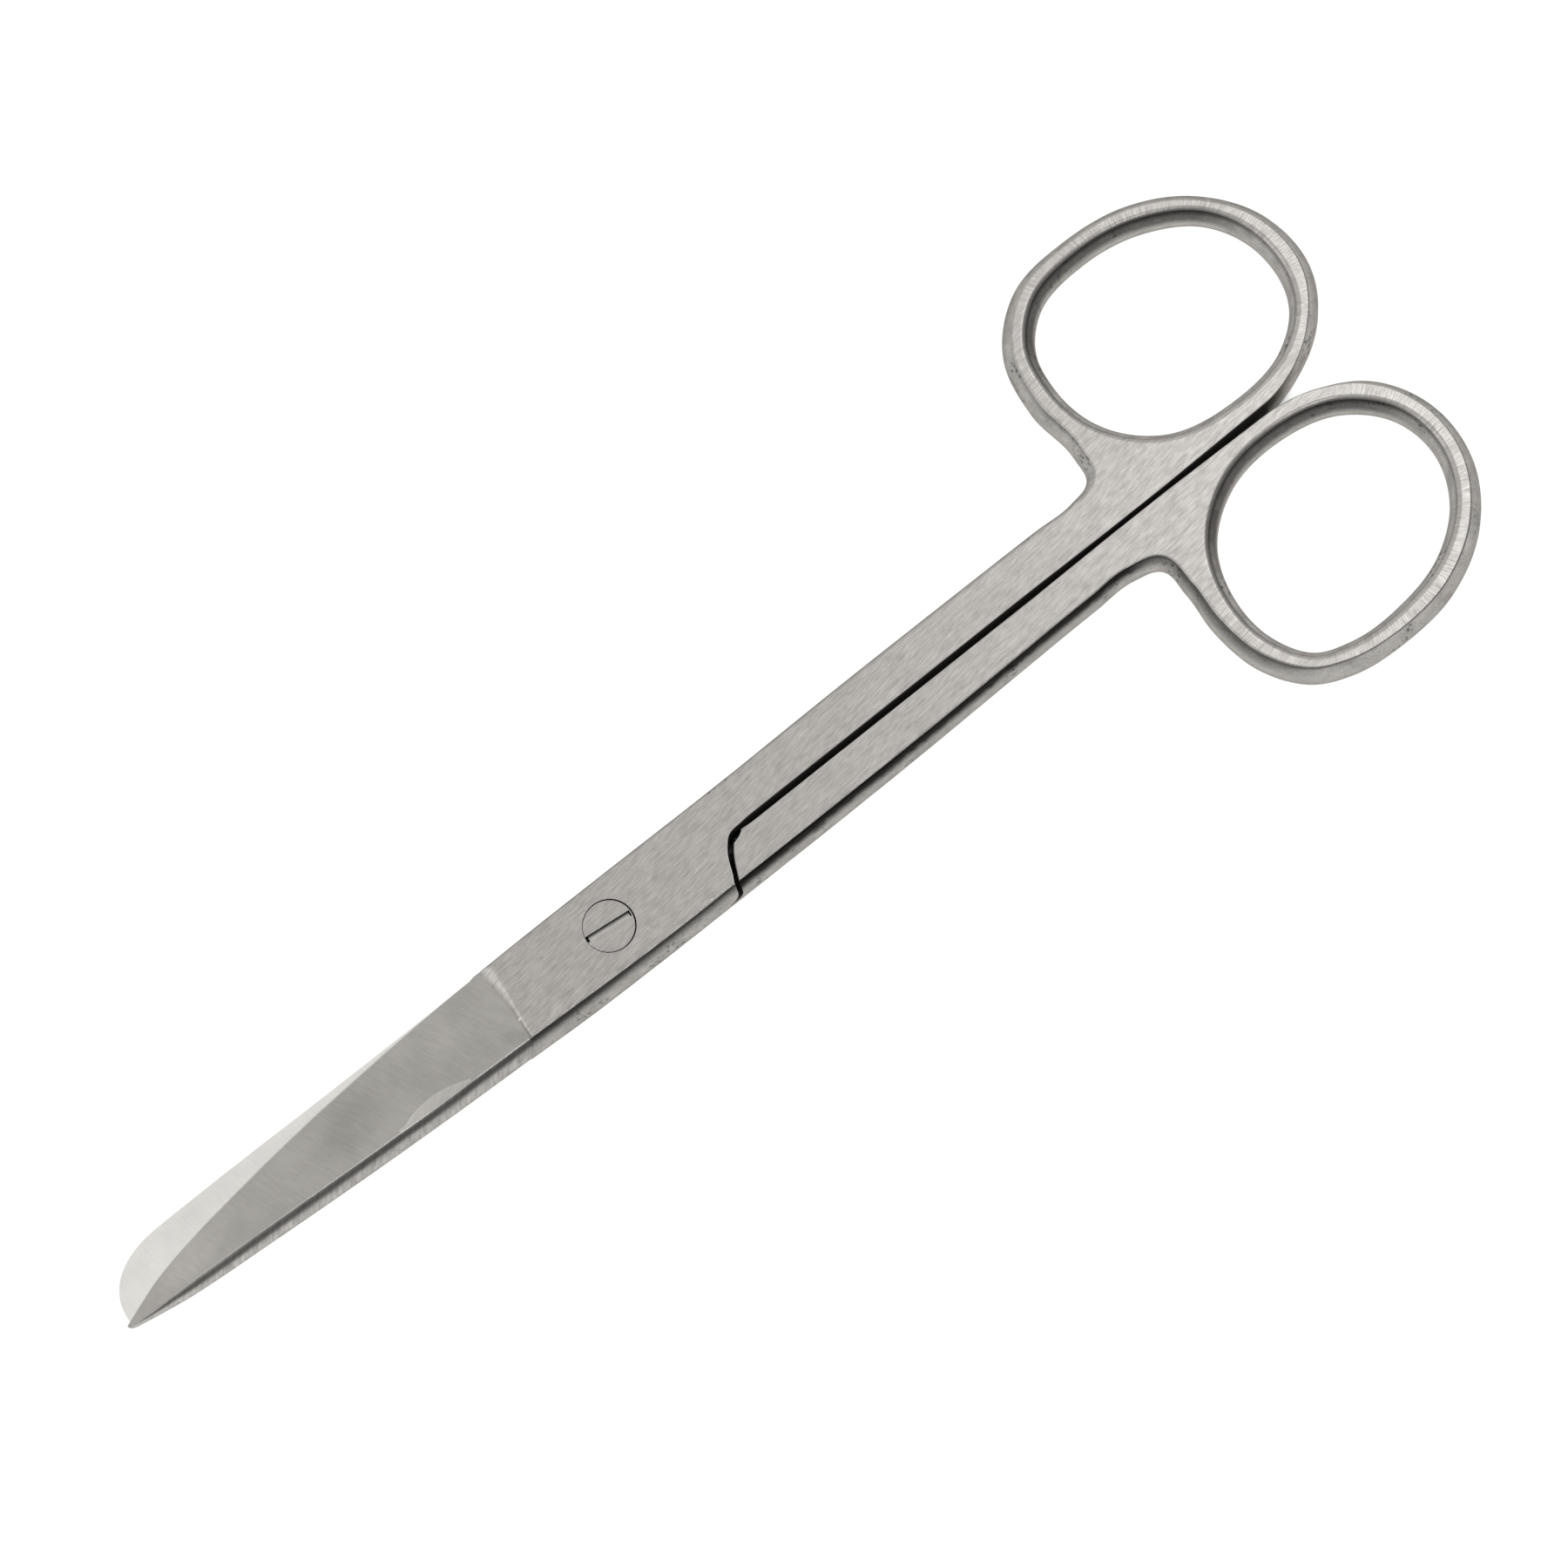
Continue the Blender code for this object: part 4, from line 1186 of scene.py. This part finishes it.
def turned(name, profile, steel):
    """Round solid from (radius, z) pairs, spun with the Screw modifier."""
    mesh = bpy.data.meshes.new(name)
    verts = [(r * MM, 0.0, z * MM) for r, z in profile]
    edges = [(i, i + 1) for i in range(len(verts) - 1)]
    mesh.from_pydata(verts, edges, [])
    obj = linked(name, mesh)
    spin = obj.modifiers.new("spin", "SCREW")
    spin.steps = ROUND_STEPS
    spin.render_steps = ROUND_STEPS
    spin.use_merge_vertices = True
    spin.merge_threshold = WELD
    bake(obj)
    bm = bmesh.new()
    bm.from_mesh(obj.data)
    bmesh.ops.remove_doubles(bm, verts=bm.verts[:], dist=WELD)
    bmesh.ops.recalc_face_normals(bm, faces=bm.faces[:])
    bm.to_mesh(obj.data)
    bm.free()
    obj.data.materials.append(steel)
    return obj


def combine(obj, cutter, operation):
    step = obj.modifiers.new(cutter.name, "BOOLEAN")
    step.solver = "EXACT"
    step.operation = operation
    step.object = cutter
    step.material_mode = "TRANSFER"
    bake(obj)


def smooth(obj):
    """Round surfaces shade smoothly, flat ground faces and sharp edges stay crisp."""
    bm = bmesh.new()
    bm.from_mesh(obj.data)
    bmesh.ops.remove_doubles(bm, verts=bm.verts[:], dist=SAME_POINT)
    bmesh.ops.dissolve_degenerate(bm, edges=bm.edges[:], dist=SAME_POINT)
    level = {face for face in bm.faces if abs(face.normal.z) > FLAT_ENOUGH
             and abs(face.calc_center_median().z / MM - MID) > MID - LEVEL_SLACK}
    for edge in bm.edges:
        sides = [face in level for face in edge.link_faces]
        crease = len(sides) == 2 and edge.calc_face_angle(0.0) > SHARP_FROM
        edge.smooth = not (crease or len(set(sides)) > 1)
    for face in bm.faces:
        face.smooth = True
    bm.to_mesh(obj.data)
    bm.free()


def flip_over(obj):
    """Turn a half over about the long centre line, into the lower layer."""
    centre = Matrix.Translation(Vector((0, CENTRE_Y * MM, MID * MM)))
    turn = centre @ Matrix.Rotation(math.pi, 4, "X") @ centre.inverted()
    obj.data.transform(turn)


def build_half(name, tree, blade, body, other_body, ring_outside, ring_hole, steels):
    half = forged_blank(name, tree, blank_outline(body, ring_outside),
                        hole_outline(ring_hole), steels)
    lap = lap_cutter(name + "_lap", other_body, steels["lap"])
    combine(half, lap, "DIFFERENCE")
    drop_object(lap)
    blade_body = ground_blade(name + "_blade", blade, steels)
    combine(half, blade_body, "UNION")
    drop_object(blade_body)
    return half


def screw_seat(steel):
    seat_r = HEAD_R + PIN_GAP
    bore_r = PIN_R + PIN_GAP
    return turned("screw_seat", [(0.0, -CUT_REACH), (bore_r, -CUT_REACH), (bore_r, CONE_Z),
                                 (seat_r, RIM_Z), (seat_r, THICK + CUT_REACH),
                                 (0.0, THICK + CUT_REACH)], steel)


def build_screw(steel, slot_steel, wall_steel):
    top = THICK - HEAD_DROP
    screw = turned("screw", [
        (0.0, 0.0), (PIN_R - END_CHAMFER, 0.0), (PIN_R, END_CHAMFER), (PIN_R, CONE_Z),
        (HEAD_R, RIM_Z), (HEAD_R, top - HEAD_CHAMFER),
        (HEAD_R - HEAD_CHAMFER * CHAMFER_MIDDLE[0], top - HEAD_CHAMFER * CHAMFER_MIDDLE[1]),
        (HEAD_R - HEAD_CHAMFER, top), (0.0, top)], steel)
    bm = bmesh.new()
    bmesh.ops.create_cube(bm, size=MM)
    slot_end = HEAD_R - SLOT_STOP
    length = slot_end + SLOT_RUN_OUT
    for vert in bm.verts:
        vert.co.x = vert.co.x * length + (slot_end - length / 2) * MM
        vert.co.y *= SLOT_W
        vert.co.z = vert.co.z * SLOT_DEPTH * 2 + THICK * MM
    bmesh.ops.rotate(bm, verts=bm.verts[:], matrix=Matrix.Rotation(SLOT_TURN, 3, "Z"))
    bm.normal_update()
    for face in bm.faces:
        # slot walls take the darkened bore steel: painted shade in the slot
        face.material_index = SLOT_FLOOR if abs(face.normal.z) > FACING_UP else SLOT_WALL
    slot = finished_mesh("slot", bm, [slot_steel, wall_steel])
    combine(screw, slot, "DIFFERENCE")
    drop_object(slot)
    screw.data.transform(Matrix.Translation(Vector((HEAD_SHIFT * MM, 0, 0))))
    return screw


# Stage

def pale_floor():
    """White to the camera and in reflections, with the part's contact shade."""
    mesh = bpy.data.meshes.new("floor")
    corners = ((-1, -1), (1, -1), (1, 1), (-1, 1))
    mesh.from_pydata([(x * FLOOR_REACH, y * FLOOR_REACH, -FLOOR_DROP) for x, y in corners],
                     [], [(0, 1, 2, 3)])
    floor = linked("floor", mesh)
    material = bpy.data.materials.new("white_floor")
    material.use_nodes = True
    tree = material.node_tree
    tree.nodes.clear()
    cloth = add(tree, "ShaderNodeBsdfDiffuse", Color=FLOOR_COLOUR)
    shade = add(tree, "ShaderNodeAmbientOcclusion", Distance=FLOOR_SHADE_REACH)
    shade.samples = FLOOR_SHADE_SAMPLES
    path = tree.nodes.new("ShaderNodeLightPath")
    mirrored = arith(tree, "MAXIMUM", path.outputs["Is Glossy Ray"],
                     path.outputs["Is Transmission Ray"])
    level = arith(tree, "MAXIMUM", path.outputs["Is Camera Ray"], mirrored)
    open_floor = remap(tree, shade.outputs["AO"], FLOOR_SHADE_FROM, FLOOR_SHADE_TO, 0.0, 1.0)
    level = arith(tree, "MULTIPLY", level, open_floor)
    glow = add(tree, "ShaderNodeEmission", Color=(1, 1, 1, 1))
    tree.links.new(arith(tree, "MULTIPLY", level, FLOOR_GLOW), glow.inputs["Strength"])
    dim = add(tree, "ShaderNodeMixShader", Fac=FLOOR_SHADE)
    tree.links.new(glow.outputs[0], dim.inputs[1])
    tree.links.new(cloth.outputs[0], dim.inputs[2])
    out = tree.nodes.new("ShaderNodeOutputMaterial")
    tree.links.new(dim.outputs[0], out.inputs[0])
    mesh.materials.append(material)


def soft_sky():
    """Broad soft light from above, falling off to one dark side."""
    world = bpy.data.worlds.new("studio")
    bpy.context.scene.world = world
    world.use_nodes = True
    tree = world.node_tree
    tree.nodes.clear()
    direction = tree.nodes.new("ShaderNodeTexCoord").outputs["Generated"]
    aim = tree.nodes.new("ShaderNodeVectorMath")
    aim.operation = "DOT_PRODUCT"
    tree.links.new(direction, aim.inputs[0])
    aim.inputs[1].default_value = SKY_AXIS
    ramp = tree.nodes.new("ShaderNodeValToRGB")
    ramp.color_ramp.interpolation = "EASE"
    while len(ramp.color_ramp.elements) > 1:
        ramp.color_ramp.elements.remove(ramp.color_ramp.elements[-1])
    for i, (height, level) in enumerate(SKY):
        element = ramp.color_ramp.elements[0] if i == 0 else ramp.color_ramp.elements.new(height)
        element.position = height
        element.color = (level, level, level, 1.0)
    tree.links.new(aim.outputs["Value"], ramp.inputs[0])
    sky = add(tree, "ShaderNodeBackground", Strength=1.0)
    tree.links.new(ramp.outputs[0], sky.inputs["Color"])
    out = tree.nodes.new("ShaderNodeOutputWorld")
    tree.links.new(sky.outputs[0], out.inputs[0])


def soft_lamp(name, place, target, size, power):
    lamp = bpy.data.lights.new(name, "AREA")
    lamp.shape = "DISK"
    lamp.size = size
    lamp.energy = power
    obj = linked(name, lamp)
    obj.location = place
    obj.rotation_euler = (Vector(target) - Vector(place)).to_track_quat("-Z", "Y").to_euler()


def camera():
    data = bpy.data.cameras.new("camera")
    data.lens = LENS
    data.sensor_width = SENSOR
    data.clip_start = NEAREST
    data.clip_end = FARTHEST
    obj = linked("camera", data)
    back = TILT_DIRECTION.normalized() * math.sin(TILT) + Vector((0, 0, math.cos(TILT)))
    right = Vector((math.cos(PICTURE_TURN), -math.sin(PICTURE_TURN), 0.0))
    right = (right - back * right.dot(back)).normalized()
    up = back.cross(right)
    distance = PICTURE_WIDTH * LENS / SENSOR
    turn = Matrix((right, up, back)).transposed().to_4x4()
    obj.matrix_world = Matrix.Translation(AIM + back * distance) @ turn
    bpy.context.scene.camera = obj


def half_steels(half, shared, ground, ring_centre, side_dark, spine_dark):
    """Steels of one half by surface, with its own forged sides and their painted light and shade.
    """
    return {
        **shared, "ground": ground,
        "side": forged_steel(half + "_skin", FORGED, low_side, *side_dark),
        "blade_side": forged_steel(half + "_spine", FORGED_AND_BELTED, whole_side, *spine_dark,
                                   SPINE_GRINDING),
        "hole": forged_steel(half + "_ring_wall", FORGED, high_wall(ring_centre),
                             *RING_WALL_DARK)}


def main():
    bpy.context.scene.view_settings.view_transform = "Standard"
    camera()
    soft_sky()
    pale_floor()
    for lamp in LAMPS:
        soft_lamp(*lamp)

    reground = satin_steel("reground_steel", REGROUND, REGRIND_BELT)
    bore = painted_shade_steel("bore_wall", BORE_WALL)
    shared = {
        "blade": satin_steel("satin_blade", SATIN, SATIN_BELT, BLADE_MARKS_AND_PAINTED_LIGHT),
        "reground": reground,
        "inner": satin_steel("hollow_ground", POLISHED, HOLLOW_BELT),
        "lap": satin_steel("lap_face", LAPPED, LAP_BELT),
        "gap": painted_shade_steel("gap_wall", GAP_WALL)}
    sharp_ground = ground_steel("sharp_ground", SHARP_RING, -WEB_TURN, SHARP_MARKS)
    blunt_ground = ground_steel("blunt_ground", BLUNT_RING, WEB_TURN, BLUNT_MARKS)
    sharp_steels = half_steels("sharp", shared, sharp_ground, SHARP_RING,
                               SHARP_SIDE_DARK, SHARP_SPINE_DARK)
    blunt_steels = half_steels("blunt", shared, blunt_ground, BLUNT_RING,
                               BLUNT_SIDE_DARK, BLUNT_SPINE_DARK)

    tree = bowed_side_tree()
    sharp = build_half("sharp_forging", tree, SHARP_BLADE, SHARP_BODY, BLUNT_BODY,
                       SHARP_RING_OUTSIDE, SHARP_RING_HOLE, sharp_steels)
    blunt = build_half("blunt_forging", tree, BLUNT_BLADE, BLUNT_BODY, SHARP_BODY,
                       BLUNT_RING_OUTSIDE, BLUNT_RING_HOLE, blunt_steels)
    flip_over(blunt)
    # the seat's walls take the darkened bore steel: painted shade round the screw
    seat = screw_seat(bore)
    combine(sharp, seat, "DIFFERENCE")
    combine(blunt, seat, "DIFFERENCE")
    drop_object(seat)
    screw = build_screw(sharp_ground, reground, bore)

    for piece, body, node, slot in (
            (sharp, "upper_half", "sharp_half", "sharp_half_steel"),
            (blunt, "lower_half", "blunt_half", "blunt_half_steel"),
            (screw, "lower_half", "pivot_screw", "screw_steel")):
        smooth(piece)
        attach(piece, body)
        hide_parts(node)


main()
